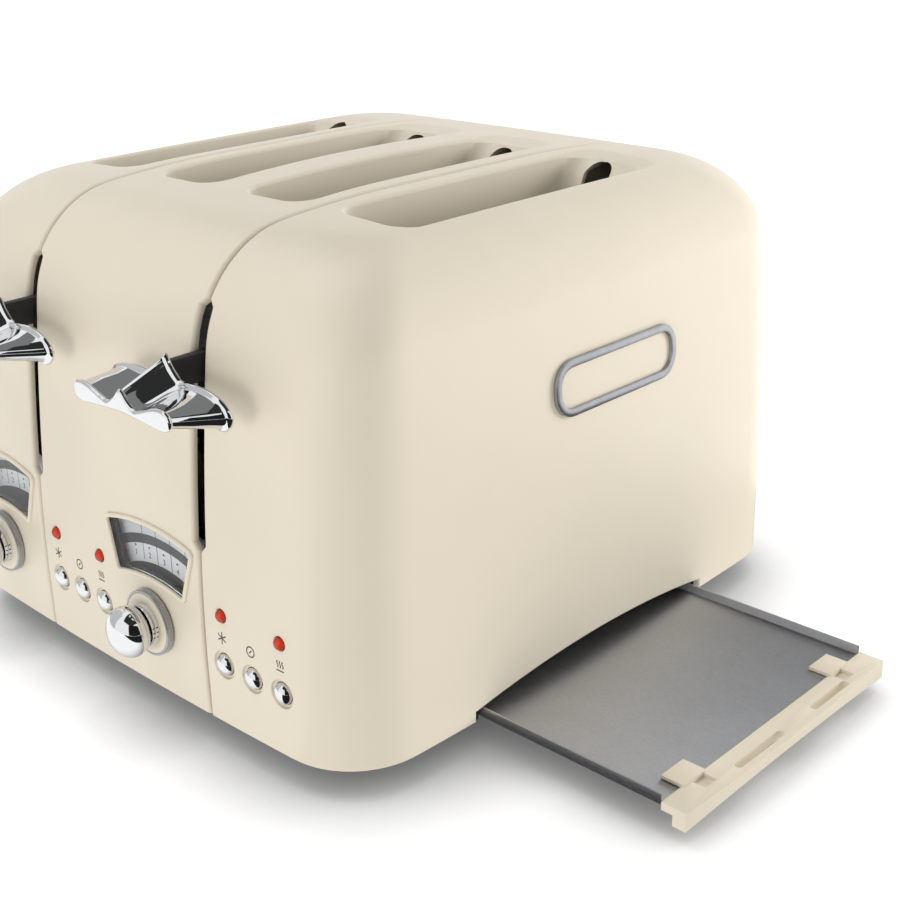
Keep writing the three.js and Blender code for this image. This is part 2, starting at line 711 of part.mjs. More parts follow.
// Wire grid that leans in to centre the bread, turning on the two ends of its bottom bar
function breadGuard(x) {
  const front = chamberFront + SLIDE_GAP;
  const rear = chamberRear - SLIDE_GAP;
  const bottom = GUARD_PIVOT_Z - GUARD_BAR / 2;
  const barTop = GUARD_PIVOT_Z + GUARD_BAR / 2;
  const pinFront = chamberFront - SHEET - GUARD_PIN_REACH;
  const pinRear = chamberRear + SHEET + GUARD_PIN_REACH;
  const outline = [[pinFront, bottom], [pinRear, bottom], [pinRear, barTop], [rear, barTop],
    [rear, guardTop], [front, guardTop], [front, barTop], [pinFront, barTop]];
  const pitch = (rear - front - GUARD_WIRE) / (GUARD_BARS - 1);
  const holes = [];
  for (let i = 0; i + 1 < GUARD_BARS; i += 1) {
    const start = front + pitch * i + GUARD_WIRE;
    holes.push(rectangle(start, start + pitch - GUARD_WIRE, barTop, guardTop - GUARD_BAR));
  }
  return slab('x', outline, x - GUARD_WIRE / 2, x + GUARD_WIRE / 2, holes);
}

// Carriage: plate on its guide, two racks and the black stem that carries the handle
function carriage(module) {
  const { x } = module;
  const armBottom = rackZ - ARM_DROP;
  const rackTop = rackZ + RACK_THICKNESS;
  const half = slotOffset + CARRIAGE_MARGIN;
  const plateBottom = armBottom - CARRIAGE_DROP + ARM_DROP;
  const plateTop = plateBottom + CARRIAGE_DROP + CARRIAGE_RISE;
  const bodies = [
    box(x - half, x + half, plateFront, plateBack, plateBottom, plateTop),
    box(x - RISER_WIDTH / 2, x + RISER_WIDTH / 2, plateFront, plateBack, plateTop - CUT,
      stemZ + STEM_HEIGHT / 2),
    box(x - STEM_WIDTH / 2, x + STEM_WIDTH / 2, leverBack + SEAT_GAP, plateFront + CUT,
      stemZ - STEM_HEIGHT / 2, stemZ + STEM_HEIGHT / 2),
    box(x - TONGUE_WIDTH / 2, x + TONGUE_WIDTH / 2, leverBack - TONGUE_LENGTH, leverBack + CUT,
      stemZ - TONGUE_HEIGHT / 2, stemZ + TONGUE_HEIGHT / 2),
    box(x + GUIDE_X - GUIDE_BOSS / 2, x + GUIDE_X + GUIDE_BOSS / 2, plateFront - GUIDE_BOSS,
      plateFront + CUT, plateBottom, plateTop),
    box(x + SPRING_X - SHEET, x + SPRING_X + SHEET, guideY - SHEET, plateFront + CUT,
      plateTop - RACK_WIDTH, plateTop),
    box(x + SPRING_X - SHEET, x + SPRING_X + SHEET, guideY - SHEET, guideY + SHEET, plateTop - CUT, hookTop),
  ];
  for (const sign of [-1, 1]) {
    const rackX = x + sign * slotOffset;
    const rackFront = chamberFront + RACK_END_GAP;
    const rackRear = chamberRear - RACK_END_GAP;
    bodies.push(
      box(rackX - ARM_WIDTH / 2, rackX + ARM_WIDTH / 2, plateFront, rackFront + CUT, armBottom,
        armBottom + ARM_HEIGHT),
      box(rackX - RACK_WIDTH / 2, rackX + RACK_WIDTH / 2, rackFront, rackRear, rackZ, rackTop),
      box(rackX - ARM_WIDTH / 2, rackX + ARM_WIDTH / 2, rackFront, rearSheetY + ARM_DROP, armBottom, rackTop),
    );
  }
  const guide = bore('z', x + GUIDE_X, guideY, GUIDE_RADIUS + SEAT_GAP, plateBottom - CUT, plateTop + CUT);
  return cut(join(...bodies), guide);
}

const leverBack = frontFace(0, stemZ) - LEVER_GAP;

// Lever handle: its outline changes evenly from back to front, with a raised rim at both ends
function leverOutline(share, offset) {
  const mix = (a, b) => a + (b - a) * share;
  const half = mix(LEVER_BACK.half, LEVER_FRONT.half);
  const height = mix(LEVER_BACK.height, LEVER_FRONT.height);
  const bottom = stemZ + mix(LEVER_BACK.rise, LEVER_FRONT.rise) - height;
  const right = LEVER_BACK_SHARES.map(([u, v], i) => {
    const [frontU, frontV] = LEVER_FRONT_SHARES[i];
    return [mix(u, frontU) * half, bottom + mix(v, frontV) * height];
  });
  const left = right.slice(1, -1).reverse().map(([u, v]) => [-u, v]);
  const outline = right.concat(left);
  const count = outline.length;
  return outline.map(([u, v], i) => {
    const before = outline[(i + count - 1) % count];
    const after = outline[(i + 1) % count];
    const [du, dv] = [after[0] - before[0], after[1] - before[1]];
    const length = Math.hypot(du, dv);
    return [u - (offset * dv) / length, v + (offset * du) / length];
  });
}

function leverHandle(x) {
  const ring = (behindFront, offset) => {
    const share = 1 - behindFront / LEVER_DEPTH;
    const y = leverBack - LEVER_DEPTH * share;
    return leverOutline(share, offset).map(([u, v]) => [x + u, y, v]);
  };
  const body = ringLoft([
    ring(LEVER_DEPTH, 0), ring(LEVER_DEPTH - LEVER_RIM, 0),
    ring(LEVER_DEPTH - LEVER_RIM - LEVER_RECESS, -LEVER_RECESS),
    ring(LEVER_FRONT_RIM + LEVER_RECESS, -LEVER_RECESS), ring(LEVER_FRONT_RIM, 0),
    ring(0, -LEVER_RECESS / 2),
  ]);
  const half = TONGUE_WIDTH / 2 + SEAT_GAP;
  const halfHeight = TONGUE_HEIGHT / 2 + SEAT_GAP;
  return body.subtract(box(x - half, x + half, leverBack - TONGUE_LENGTH - SEAT_GAP, leverBack + CUT,
    stemZ - halfHeight, stemZ + halfHeight));
}

// Rings one behind the other from back to front, closed by flat ends
function ringLoft(rings) {
  const count = rings[0].length;
  const shape = rings[0].map(([u, , v]) => new THREE.Vector2(u, v));
  const caps = THREE.ShapeUtils.triangulateShape(shape, []);
  const lastCaps = THREE.ShapeUtils.triangulateShape(
    rings[rings.length - 1].map(([u, , v]) => new THREE.Vector2(u, v)), []);
  const last = (rings.length - 1) * count;
  const index = [];
  for (let ring = 0; ring + 1 < rings.length; ring += 1) {
    for (let i = 0; i < count; i += 1) {
      const a = ring * count + i;
      const b = ring * count + ((i + 1) % count);
      index.push(a, b, b + count, a, b + count, a + count);
    }
  }
  caps.forEach(([a, b, c]) => index.push(a, b, c));
  lastCaps.forEach(([a, b, c]) => index.push(last + a, last + c, last + b));
  const geometry = new THREE.BufferGeometry();
  geometry.setAttribute('position', new THREE.Float32BufferAttribute(rings.flat(2), 3));
  geometry.setIndex(index);
  return solid(outward(geometry));
}

// Turns a closed geometry's faces outward if its signed volume is negative
function outward(geometry) {
  const position = geometry.attributes.position;
  const index = geometry.index.array;
  const [a, b, c] = [new THREE.Vector3(), new THREE.Vector3(), new THREE.Vector3()];
  let volume = 0;
  for (let i = 0; i < index.length; i += 3) {
    a.fromBufferAttribute(position, index[i]);
    b.fromBufferAttribute(position, index[i + 1]);
    c.fromBufferAttribute(position, index[i + 2]);
    volume += a.dot(b.cross(c));
  }
  if (volume < 0) {
    for (let i = 0; i < index.length; i += 3) {
      [index[i], index[i + 1]] = [index[i + 1], index[i]];
    }
  }
  return geometry;
}

// Browning knob: flange, neck and flattened dome on a shaft that reaches its potentiometer
function knob(module) {
  const x = knobX(module);
  const face = foremost(x, KNOB_Z, KNOB_FLANGE_RADIUS) - SEAT_GAP;
  const domeCentre = KNOB_FLANGE + KNOB_NECK + KNOB_DOME / 2;
  const profile = [];
  const domePoints = 7;
  for (let i = 0; i <= domePoints; i += 1) {
    const angle = (Math.PI * 0.8 * i) / domePoints;
    profile.push([-domeCentre - (KNOB_DOME / 2) * Math.cos(angle), KNOB_DOME_RADIUS * Math.sin(angle)]);
  }
  const shaftEnd = boardFront - POT_DEPTH - SEAT_GAP;
  profile.push(
    [-KNOB_FLANGE - KNOB_NECK, KNOB_NECK_RADIUS], [-KNOB_FLANGE, KNOB_NECK_RADIUS],
    [-KNOB_FLANGE, KNOB_FLANGE_RADIUS - SHEET], [-KNOB_FLANGE + SHEET, KNOB_FLANGE_RADIUS],
    [0, KNOB_FLANGE_RADIUS], [0, SHAFT_RADIUS], [shaftEnd - face, SHAFT_RADIUS], [shaftEnd - face, 0],
  );
  return turned(profile, x, face, KNOB_Z, ROUND);
}

// Gauge: bezel and window follow the face, the needle turns round the knob's shaft in front of the dial
function gauge(module) {
  const x = knobX(module);
  const block = (grow) => slab('y', sector(x, grow), -halfDepth - CASE_WALL, -halfDepth + 4 * CASE_WALL);
  const shell = (from, to) => caseSolid(from).subtract(caseSolid(to));
  const bezel = block(0).subtract(block(-BEZEL_WALL)).intersect(shell(-BEZEL_PROUD, CASE_WALL));
  const glassBack = WINDOW_RECESS + WINDOW_THICKNESS;
  const glass = block(-BEZEL_WALL - SEAT_GAP).intersect(shell(WINDOW_RECESS, glassBack));
  const dialFront = dialFace(module);
  const needleBack = dialFront - NEEDLE_GAP;
  const needleFront = needleBack - NEEDLE_THICKNESS;
  const hub = SHAFT_RADIUS + SEAT_GAP + NEEDLE_HUB_WALL;
  const pointer = slab('y', [
    [x - NEEDLE_WIDTH, KNOB_Z], [x + NEEDLE_WIDTH, KNOB_Z],
    [x + NEEDLE_WIDTH / 4, KNOB_Z + NEEDLE_LENGTH], [x - NEEDLE_WIDTH / 4, KNOB_Z + NEEDLE_LENGTH],
  ], needleFront, needleBack);
  const ring = rod('y', x, KNOB_Z, hub, needleFront, needleBack);
  const shaftHole = (from, to) => bore('y', x, KNOB_Z, SHAFT_RADIUS + SEAT_GAP, from - CUT, to + CUT);
  const needle = geometryOf(join(pointer, ring).subtract(shaftHole(needleFront, needleBack)));
  needle.translate(-x, 0, -KNOB_Z).rotateY(-NEEDLE_REST).translate(x, 0, KNOB_Z);
  const dialBack = dialFront + DIAL_THICKNESS;
  const footHalf = gaugeHalf - DIAL_FOOT_INSET;
  const foot = rectangle(x - footHalf, x + footHalf, KNOB_Z - DIAL_FOOT, GAUGE_CENTRE_Z + GAUGE_INNER);
  const sheet = (outline) => slab('y', outline, dialFront, dialBack);
  const plate = sheet(sector(x, DIAL_MARGIN)).add(sheet(foot));
  return { bezel, glass, needle, dial: plate.subtract(shaftHole(dialFront, dialBack)) };
}

// Push button: dome in front, collar behind the wall, stem to its switch
function button(x) {
  const face = frontFace(x, BUTTON_Z);
  const collarFront = hindmost(x, BUTTON_Z, BUTTON_COLLAR_RADIUS) - face + CASE_WALL + COLLAR_GAP;
  const stemEnd = boardFront - SWITCH_DEPTH - BUTTON_TRAVEL - SEAT_GAP - face;
  const profile = [];
  const domePoints = 4;
  for (let i = 0; i <= domePoints; i += 1) {
    const angle = (Math.PI / 2) * (i / domePoints);
    profile.push([-BUTTON_PROUD - BUTTON_DOME * Math.cos(angle), BUTTON_RADIUS * Math.sin(angle)]);
  }
  profile.push(
    [collarFront, BUTTON_RADIUS], [collarFront, BUTTON_COLLAR_RADIUS],
    [collarFront + BUTTON_COLLAR, BUTTON_COLLAR_RADIUS], [collarFront + BUTTON_COLLAR, BUTTON_STEM_RADIUS],
    [stemEnd, BUTTON_STEM_RADIUS], [stemEnd, 0],
  );
  return turned(profile, x, face, BUTTON_Z, SMALL_ROUND);
}

function lamp(x) {
  const face = frontFace(x, LAMP_Z);
  const profile = [];
  const domePoints = 3;
  for (let i = 0; i <= domePoints; i += 1) {
    const angle = (Math.PI / 2) * (i / domePoints);
    profile.push([-LAMP_PROUD * Math.cos(angle), LAMP_RADIUS * Math.sin(angle)]);
  }
  const end = boardFront - SEAT_GAP - face;
  profile.push([end, LAMP_RADIUS], [end, 0]);
  return turned(profile, x, face, LAMP_Z, SMALL_ROUND);
}

function controlBoard(module) {
  const front = boardFront;
  const back = front + BOARD_THICKNESS;
  const x = knobX(module);
  const block = (cx, cz, size, depth) => box(cx - size / 2, cx + size / 2, front - depth,
    front + BOARD_THICKNESS / 2, cz - size / 2, cz + size / 2);
  return join(
    box(module.x - slotPitch + BOARD_INSET_LEFT, module.x + slotPitch - BOARD_INSET_RIGHT, front, back,
      baseTop + SEAT_GAP, BOARD_TOP),
    block(x, KNOB_Z, POT_SIZE, POT_DEPTH),
    ...buttonNames.map((name, i) => block(buttonX(module, i), BUTTON_Z, SWITCH_SIZE, SWITCH_DEPTH)),
  );
}

// Latch magnet below the carriage plate: two pole plates round a coil
function latchMagnet(module) {
  const x0 = module.x + MAGNET_LEFT;
  const x1 = x0 + MAGNET_WIDTH;
  const y1 = frontSheetY - CARRIAGE_SETBACK + MAGNET_DEPTH / 2;
  const y0 = y1 - MAGNET_DEPTH;
  const bottom = baseTop + SEAT_GAP;
  const top = rackZ - CARRIAGE_DROP - leverDrop - MAGNET_GAP;
  const coil = box(x0 + MAGNET_PLATE / 2, x1 - MAGNET_PLATE / 2, y0 + MAGNET_INSET, y1 - MAGNET_INSET,
    bottom + MAGNET_PLATE / 2, top - MAGNET_PLATE / 2);
  return join(
    coil,
    box(x0, x0 + MAGNET_PLATE, y0, y1, bottom, top),
    box(x1 - MAGNET_PLATE, x1, y0, y1, bottom, top),
    box(x0, x1, y0, y1, bottom, bottom + MAGNET_PLATE),
  );
}

// Crumb tray: folded sheet pan and the moulded handle across its outer end
const panBottom = baseTop + TRAY_LIFT;
const panTop = panBottom + TRAY_SHEET;

function trayPan() {
  const x0 = -trayInnerX + SLIDE_GAP + TRAY_PULL;
  const x1 = closedHandleX + TRAY_PULL - SEAT_GAP;
  const y0 = TRAY_Y - trayHalf;
  const y1 = TRAY_Y + trayHalf;
  return join(
    box(x0, x1, y0, y1, panBottom, panTop),
    box(x0, x1, y0, y0 + TRAY_SHEET, panBottom, panTop + TRAY_RIM),
    box(x0, x1, y1 - TRAY_SHEET, y1, panBottom, panTop + TRAY_RIM),
    box(x0, x0 + TRAY_SHEET, y0, y1, panBottom, panTop + TRAY_RIM),
  );
}

function trayHandle() {
  const x0 = closedHandleX + TRAY_PULL;
  const x1 = x0 + HANDLE_DEPTH;
  const top = panTop + HANDLE_TOP;
  const y0 = TRAY_Y - trayHalf - SEAT_GAP;
  const y1 = TRAY_Y + trayHalf + SEAT_GAP;
  const steps = 8;
  const outline = [[x0, y1], [x0, y0]];
  for (let i = 0; i <= steps; i += 1) {
    const share = (2 * i) / steps - 1;
    outline.push([x1 - HANDLE_BOW * share * share, TRAY_Y + share * (trayHalf + SEAT_GAP)]);
  }
  const flange = slab('z', outline, top - HANDLE_FLANGE, top);
  const skirtBox = box(x1 - HANDLE_BOW - HANDLE_SKIRT_WALL, x1, y0, y1, top - HANDLE_SKIRT, top);
  const skirt = slab('z', outline, top - HANDLE_SKIRT, top).intersect(skirtBox);
  const archPoints = [[y0 - CUT, top - HANDLE_SKIRT - CUT], [y1 + CUT, top - HANDLE_SKIRT - CUT]];
  for (let i = 0; i <= steps; i += 1) {
    const share = 1 - (2 * i) / steps;
    const rise = HANDLE_ARCH * (1 - share * share);
    archPoints.push([TRAY_Y + share * (trayHalf + CUT), top - HANDLE_SKIRT + rise]);
  }
  const arch = slab('x', archPoints, x0 - CUT, x1 + CUT);
  const parts = [flange, skirt];
  const cuts = [arch];
  const tabBottom = panTop + SEAT_GAP;
  for (const sign of [-1, 1]) {
    const ty = TRAY_Y + sign * (trayHalf - HANDLE_TAB_INSET);
    parts.push(box(x0 - HANDLE_TAB_DEPTH, x0 + CUT, ty - HANDLE_TAB_WIDTH / 2, ty + HANDLE_TAB_WIDTH / 2,
      tabBottom, tabBottom + HANDLE_TAB_SHEET));
    const cy = TRAY_Y + sign * (trayHalf - CLIP_INSET);
    cuts.push(box(x0 + SHEET, x0 + SHEET + CLIP_DEPTH, cy - CLIP_WIDTH / 2, cy + CLIP_WIDTH / 2,
      top - HANDLE_FLANGE / 2, top + CUT));
  }
  const slotX = x1 - HANDLE_BOW - HANDLE_SKIRT_WALL / 2;
  for (const { from, to } of HANDLE_SLOTS) {
    const middle = (from + to) / 2;
    const hole = roundRect(slotX, middle, HANDLE_SLOT_WIDTH, to - from, HANDLE_SLOT_WIDTH / 2);
    cuts.push(slab('z', hole, top - HANDLE_SKIRT - CUT, top + CUT));
  }
  return cut(join(...parts), ...cuts);
}

// Plain plate that follows the right-hand side, and the cord's inlet at the rear
function sidePlate() {
  const outline = roundRect(PLATE_Y, plateZ, PLATE_LENGTH, PLATE_HEIGHT, PLATE_CORNER);
  const block = slab('x', outline, halfWidth - 2 * SIDE_LEAN, halfWidth + PLATE_THICKNESS + CUT);
  return block.intersect(caseSolid(-SEAT_GAP - PLATE_THICKNESS)).subtract(caseSolid(-SEAT_GAP));
}

function cordGland() {
  const face = halfDepth + SEAT_GAP;
  const body = join(
    rod('y', GLAND_X, GLAND_Z, GLAND_RADIUS, halfDepth - 2 * CASE_WALL, face + GLAND_FLANGE / 2),
    rod('y', GLAND_X, GLAND_Z, GLAND_FLANGE_RADIUS, face, face + GLAND_FLANGE),
  );
  return body.subtract(rod('y', GLAND_X, GLAND_Z, GLAND_BORE, 0, halfDepth * 2, SMALL_ROUND));
}

// Assembly
const toaster = new THREE.Group();

function place(name, body, material, parent = toaster) {
  const geometry = body.isBufferGeometry ? body : geometryOf(body);
  const mesh = new THREE.Mesh(geometry, material);
  mesh.name = name;
  parent.add(mesh);
}

place('base_plate', basePlate(), black);
for (const [row, sy] of [['front', -1], ['rear', 1]]) {
  for (const [column, sx] of [['left', -1], ['right', 1]]) {
    const foot = rod('z', sx * footX, sy * footY, FOOT_RADIUS, 0, FOOT_HEIGHT);
    place(`foot_${row}_${column}`, foot, rubber);
  }
}
for (const [name, body] of Object.entries(caseSections())) {
  place(name, body, cream);
}
place('front_bulkhead', chamberSheet(frontSheetY, true), steel);
place('rear_bulkhead', chamberSheet(rearSheetY, false), steel);

const outerHeater = slotOuterX + HEATER_OFFSET;
const innerHeater = seamX - slotOffset - HEATER_OFFSET;
[-outerHeater, -seamX, -innerHeater, innerHeater, seamX, outerHeater].forEach((x, i) => {
  place(`heater_card_${i + 1}`, heaterCard(x), mica);
});
slotXs.forEach((x, i) => {
  place(`bread_guard_${i + 1}_left`, breadGuard(x - GUARD_OFFSET), steel);
  place(`bread_guard_${i + 1}_right`, breadGuard(x + GUARD_OFFSET), steel);
});

for (const module of modules) {
  const { side, x } = module;
  const { bezel, glass, needle, dial } = gauge(module);
  place(`carriage_${side}`, carriage(module), black);
  place(`lever_handle_${side}`, leverHandle(x), chrome);
  place(`guide_rod_${side}`, rod('z', x + GUIDE_X, guideY, GUIDE_RADIUS, baseTop + SEAT_GAP,
    sheetTop + SHEET, SMALL_ROUND), steel);
  place(`return_spring_${side}`, rod('z', x + SPRING_X, guideY, SPRING_RADIUS, hookTop + SEAT_GAP,
    sheetTop - SHEET - SEAT_GAP, SMALL_ROUND), steel);
  place(`latch_magnet_${side}`, latchMagnet(module), copper);
  place(`control_board_${side}`, controlBoard(module), board);
  place(`gauge_bezel_${side}`, bezel, cream);
  place(`gauge_window_${side}`, glass, clear);
  place(`gauge_needle_${side}`, needle, lampRed);
  place(`gauge_dial_${side}`, dial, dialWhite);
  place(`browning_knob_${side}`, knob(module), chrome);
  buttonNames.forEach((name, i) => {
    place(`${name}_button_${side}`, button(buttonX(module, i)), chrome);
  });
  for (const [i, name] of Object.entries(lampNames)) {
    place(`${name}_lamp_${side}`, lamp(buttonX(module, Number(i))), lampRed);
  }
}

place('crumb_tray_pan', trayPan(), steel);
place('crumb_tray_handle', trayHandle(), cream);
place('side_plate', sidePlate(), steel);
place('cord_gland', cordGland(), black);

const bounds = new THREE.Box3().setFromObject(toaster, true);
const middle = bounds.getCenter(new THREE.Vector3());
toaster.position.set(-middle.x, -middle.y, -bounds.min.z);
toaster.updateMatrixWorld(true);

export default toaster;
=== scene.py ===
"""Visual model of a four-slice toaster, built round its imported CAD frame.

Two like modules stand side by side, each with a lever, a browning knob with an arched gauge above it, three
buttons and two lamps. Shapes are worked out in millimetres about the middle of the case (X across the slots,
-Y the front, Z up from the table) and set down in the frame in metres.
"""

from __future__ import annotations

import json
import logging
import math
from collections.abc import Callable, Sequence
from dataclasses import dataclass, replace
from enum import Enum

import bmesh
import bpy
import numpy as np
from mathutils import Matrix, Vector
from mathutils.bvhtree import BVHTree
from mathutils.interpolate import poly_3d_calc

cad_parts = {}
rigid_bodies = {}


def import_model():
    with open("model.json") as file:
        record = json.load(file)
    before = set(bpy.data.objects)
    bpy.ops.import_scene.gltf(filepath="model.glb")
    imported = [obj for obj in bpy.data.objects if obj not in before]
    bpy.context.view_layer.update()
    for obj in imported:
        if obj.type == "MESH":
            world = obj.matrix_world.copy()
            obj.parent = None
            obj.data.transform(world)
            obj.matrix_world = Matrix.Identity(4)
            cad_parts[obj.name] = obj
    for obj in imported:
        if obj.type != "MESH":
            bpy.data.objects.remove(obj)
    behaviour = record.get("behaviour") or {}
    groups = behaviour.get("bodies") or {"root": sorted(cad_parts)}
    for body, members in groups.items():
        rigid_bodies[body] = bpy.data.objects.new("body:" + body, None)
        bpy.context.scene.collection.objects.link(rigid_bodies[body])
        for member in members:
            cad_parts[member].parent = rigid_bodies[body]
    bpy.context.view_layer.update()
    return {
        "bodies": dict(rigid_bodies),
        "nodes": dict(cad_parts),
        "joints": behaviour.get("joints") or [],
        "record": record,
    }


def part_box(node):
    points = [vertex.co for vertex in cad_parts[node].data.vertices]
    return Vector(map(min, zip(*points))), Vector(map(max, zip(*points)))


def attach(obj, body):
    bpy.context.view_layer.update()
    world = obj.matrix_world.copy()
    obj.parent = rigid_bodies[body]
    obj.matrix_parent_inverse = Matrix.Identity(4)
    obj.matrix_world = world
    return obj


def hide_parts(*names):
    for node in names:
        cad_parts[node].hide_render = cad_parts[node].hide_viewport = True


Piece = bpy.types.Object
Socket = bpy.types.NodeSocket
Node = bpy.types.Node
Tree = bpy.types.NodeTree
Pair = tuple[float, float]
Triple = tuple[float, float, float]

LOG = logging.getLogger("toaster")
MM = 0.001
TINY = 1e-12
FAR = 400.0

# Meshing: distances in metres under which points and slivers merge, angles that count as flat or as an edge, the
# largest smooth angles in degrees, and the facets of round parts.
MERGE = 1e-7
SLIVER = 1e-8
CAD_MERGE = 1e-6
FLAT_ANGLE = math.radians(1)
BEVEL_ANGLE = math.radians(30)
BAND_SMOOTH = 50.0
ROUND_SMOOTH = 40.0
FACETS = 32
RECESS_FACETS = 40
BUTTON_FACETS = 48
DOT_FACETS = 16

# Points of the dense case profile and plan outline, and how many of them lie between two that are kept.
PROFILE_WALL = 301
PROFILE_ARC = 121
PROFILE_CROWN = 181
PROFILE_WALL_STEP = 15
PROFILE_ARC_STEP = 4
PROFILE_CROWN_STEP = 12
ROLL_LEVELS = 6
OUTLINE_FACE = 101
OUTLINE_CORNER = 101
OUTLINE_FACE_STEP = 10
OUTLINE_CORNER_STEP = 4

# Cutting the case, in millimetres: how far a rolled edge runs on outside the skin, the middle that a seam's path is
# sought from, the cord's hole, and which points count as the outer skin.
CORNER_FULLNESS = math.sqrt(0.5)
FLARE_LENGTH = 0.9
SEAM_HUB_Z = 95.0
SEAM_SWEEP = (-236.0, 56.0)
SEAM_CASTS = 900
ROLL_ANGLES = (0.0, 16.0, 32.0, 48.0, 64.0, 78.0)
INLET_X = 40.0
INLET_Z = 32.0
INLET_RADIUS = 6.3
INLET_FROM = 135.0
INLET_LENGTH = 20.0
GAUGE_CUT = (-160.0, -120.0)
KNOB_HOLE = 3.3
LAMP_EDGE = 0.5
SECTION_FACES = 200
SKIN_SMOOTH = 32.0
SKIN_REACH = 0.06
SKIN_ANGLE = math.radians(34)

# Looks: the window's refraction, and the dial's span in metres with the millimetres at which its bands begin.
WINDOW_IOR = 1.2
DIAL_SPAN = 0.1
DIAL_BANDS = ((0.0, 0.06), (53.4, 0.8), (61.4, 0.075), (66.0, 0.72))

# Small parts, in millimetres.
RIBBON_MARGIN = 12.0
RIBBON_THICKNESS = 0.55
RIBBON_WIDTH = 3.0
CARD_THICKNESS = 1.2
CARD_EDGE = 0.2
PIN_REACH = 2.8
PAN_BEVEL = 0.25
FRONT_BEVEL = 0.55
MARK_RADIUS = 9.36
MARK_START = math.radians(-14.0)
MARK_SWEEP = math.radians(26.0)
MARK_DEPTH = 1.1
MARK_COUNT = 3
MARK_SIZE = (0.12, 0.9, 0.5)
MARK_STEP = 1.7
BEAD = ((-1.0, -3.0), (-1.0, 0.35), (-0.92, 0.75), (-0.68, 1.05), (-0.3, 1.22), (0.1, 1.24), (0.5, 1.14),
        (0.82, 0.88), (1.0, 0.5), (1.0, -3.0))
# Painted shade: section of a black band inside the bead that stands in for the shaded wall of the window's recess.
SHADE_BAND = ((-1.4, -3.0), (-1.4, -0.15), (-1.02, -0.15), (-1.02, -3.0))
DIAL_SHIFT = -1.55
DIAL_ARC_Z = 12.3
DIAL_SEPARATORS = (-13.45, -3.95, 5.55, 15.55)
DIAL_DOTS = ((-18.95, 70.6), (-9.25, 71.9), (0.55, 71.8), (9.55, 70.6), (18.9, 67.6))
DOT_RADIUS = 0.55
BAR_REACH = (53.4, 70.0)
BAR_WIDTH = 0.28
INK = 0.06
NUMBER_SIZE = 3.6
NUMBER_DROP = 2.9
NUMBER_LIFT = 1.2
NUMBER_PROUD = 0.05
NUMBER_HALF = 0.03
SIGN_Z = 53.0
SIGN_SIZE = 5.3
SIGN_LINE = 0.55
SIGN_RING = 0.4
SIGN_BAR = 0.7
WAVE_PITCH = 1.4
WAVE_SIZE = 0.35
WAVE_LOW = 0.6
WAVE_POINTS = 9
LINE_HALF = 2.0
LINE_DROP = 1.9
SIGN_PROUD = 0.03
SIGN_SUNK = 0.1

# Studio: strength of the fill light, and the floor's half width and reach of its painted contact shadow in
# millimetres, its share of own light, strengths, the tones of its painted contact shadow by occlusion and the colour
# of what it throws back.
WORLD_FILL = 0.43
WHITE = (1.0, 1.0, 1.0, 1.0)
FLOOR_HALF = 6000.0
FLOOR_GLOW = 0.72
FLOOR_WHITE = 1.26
FLOOR_BOUNCE = 1.2
FLOOR_REACH = 45.0
FLOOR_GREY = (0.93, 0.93, 0.93, 1.0)
FLOOR_WARM = (1.0, 0.99, 0.97, 1.0)
FLOOR_SAMPLES = 16
FLOOR_SHADOW_TONES = ((0.0, 0.06), (0.45, 0.32), (0.8, 0.78), (1.0, 1.0))


# ---------------------------------------------------------------- geometry helpers


@dataclass(frozen=True)
class Placement:
    """Where the middle of the case stands in the frame, in metres."""

    x: float
    y: float

    @classmethod
    def from_feet(cls) -> Placement:
        """Finds the middle of the case from the outer corners of two opposite feet.

        Returns:
            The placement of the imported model.
        """
        low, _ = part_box("foot_front_left")
        _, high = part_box("foot_rear_right")
        return cls((low.x + high.x) / 2, (low.y + high.y) / 2)

    def metres(self, points: np.ndarray) -> np.ndarray:
        """Turns an array of points in millimetres about the case into frame metres."""
        return np.asarray(points, float) * MM + np.array([self.x, self.y, 0.0])

    def spot(self, x: float, y: float, z: float) -> Vector:
        """Turns one place in millimetres into a frame point."""
        return Vector((x * MM + self.x, y * MM + self.y, z * MM))

    def millimetres(self, point: Vector) -> Vector:
        """Turns a frame point into millimetres about the case."""
        return Vector(((point.x - self.x) / MM, (point.y - self.y) / MM, point.z / MM))


@dataclass
class Skin:
    """Points and faces of one or more closed bodies, in millimetres about the case."""

    points: np.ndarray
    faces: list[tuple[int, ...]]

    def joined(self, other: Skin) -> Skin:
        """Puts another skin beside this one.

        Args:
            other: The skin to add.

        Returns:
            One skin that holds both.
        """
        shift = len(self.points)
        moved = [tuple(i + shift for i in face) for face in other.faces]
        return Skin(np.vstack([self.points, other.points]), self.faces + moved)


def join_skins(skins: Sequence[Skin]) -> Skin:
    """Joins several skins.

    Args:
        skins: At least one skin.

    Returns:
        One skin that holds them all.
    """
    whole = skins[0]
    for skin in skins[1:]:
        whole = whole.joined(skin)
    return whole


def loft(rings: Sequence[Sequence[Sequence[float]]], capped: bool = True, closed: bool = False) -> Skin:
    """Skins a row of rings that all have the same number of points.

    Args:
        rings: Rings of points, one after the other.
        capped: Whether both ends are closed by one face each.
        closed: Whether the last ring joins the first one.

    Returns:
        The skin through the rings.
    """
    stack = np.asarray(rings, float)
    count, size = stack.shape[:2]
    faces: list[tuple[int, ...]] = []
    for ring in range(count if closed else count - 1):
        after = (ring + 1) % count
        for i in range(size):
            j = (i + 1) % size
            faces.append((ring * size + i, ring * size + j, after * size + j, after * size + i))
    if capped and not closed:
        faces.append(tuple(reversed(range(size))))
        faces.append(tuple(range((count - 1) * size, count * size)))
    return Skin(stack.reshape(-1, 3), faces)


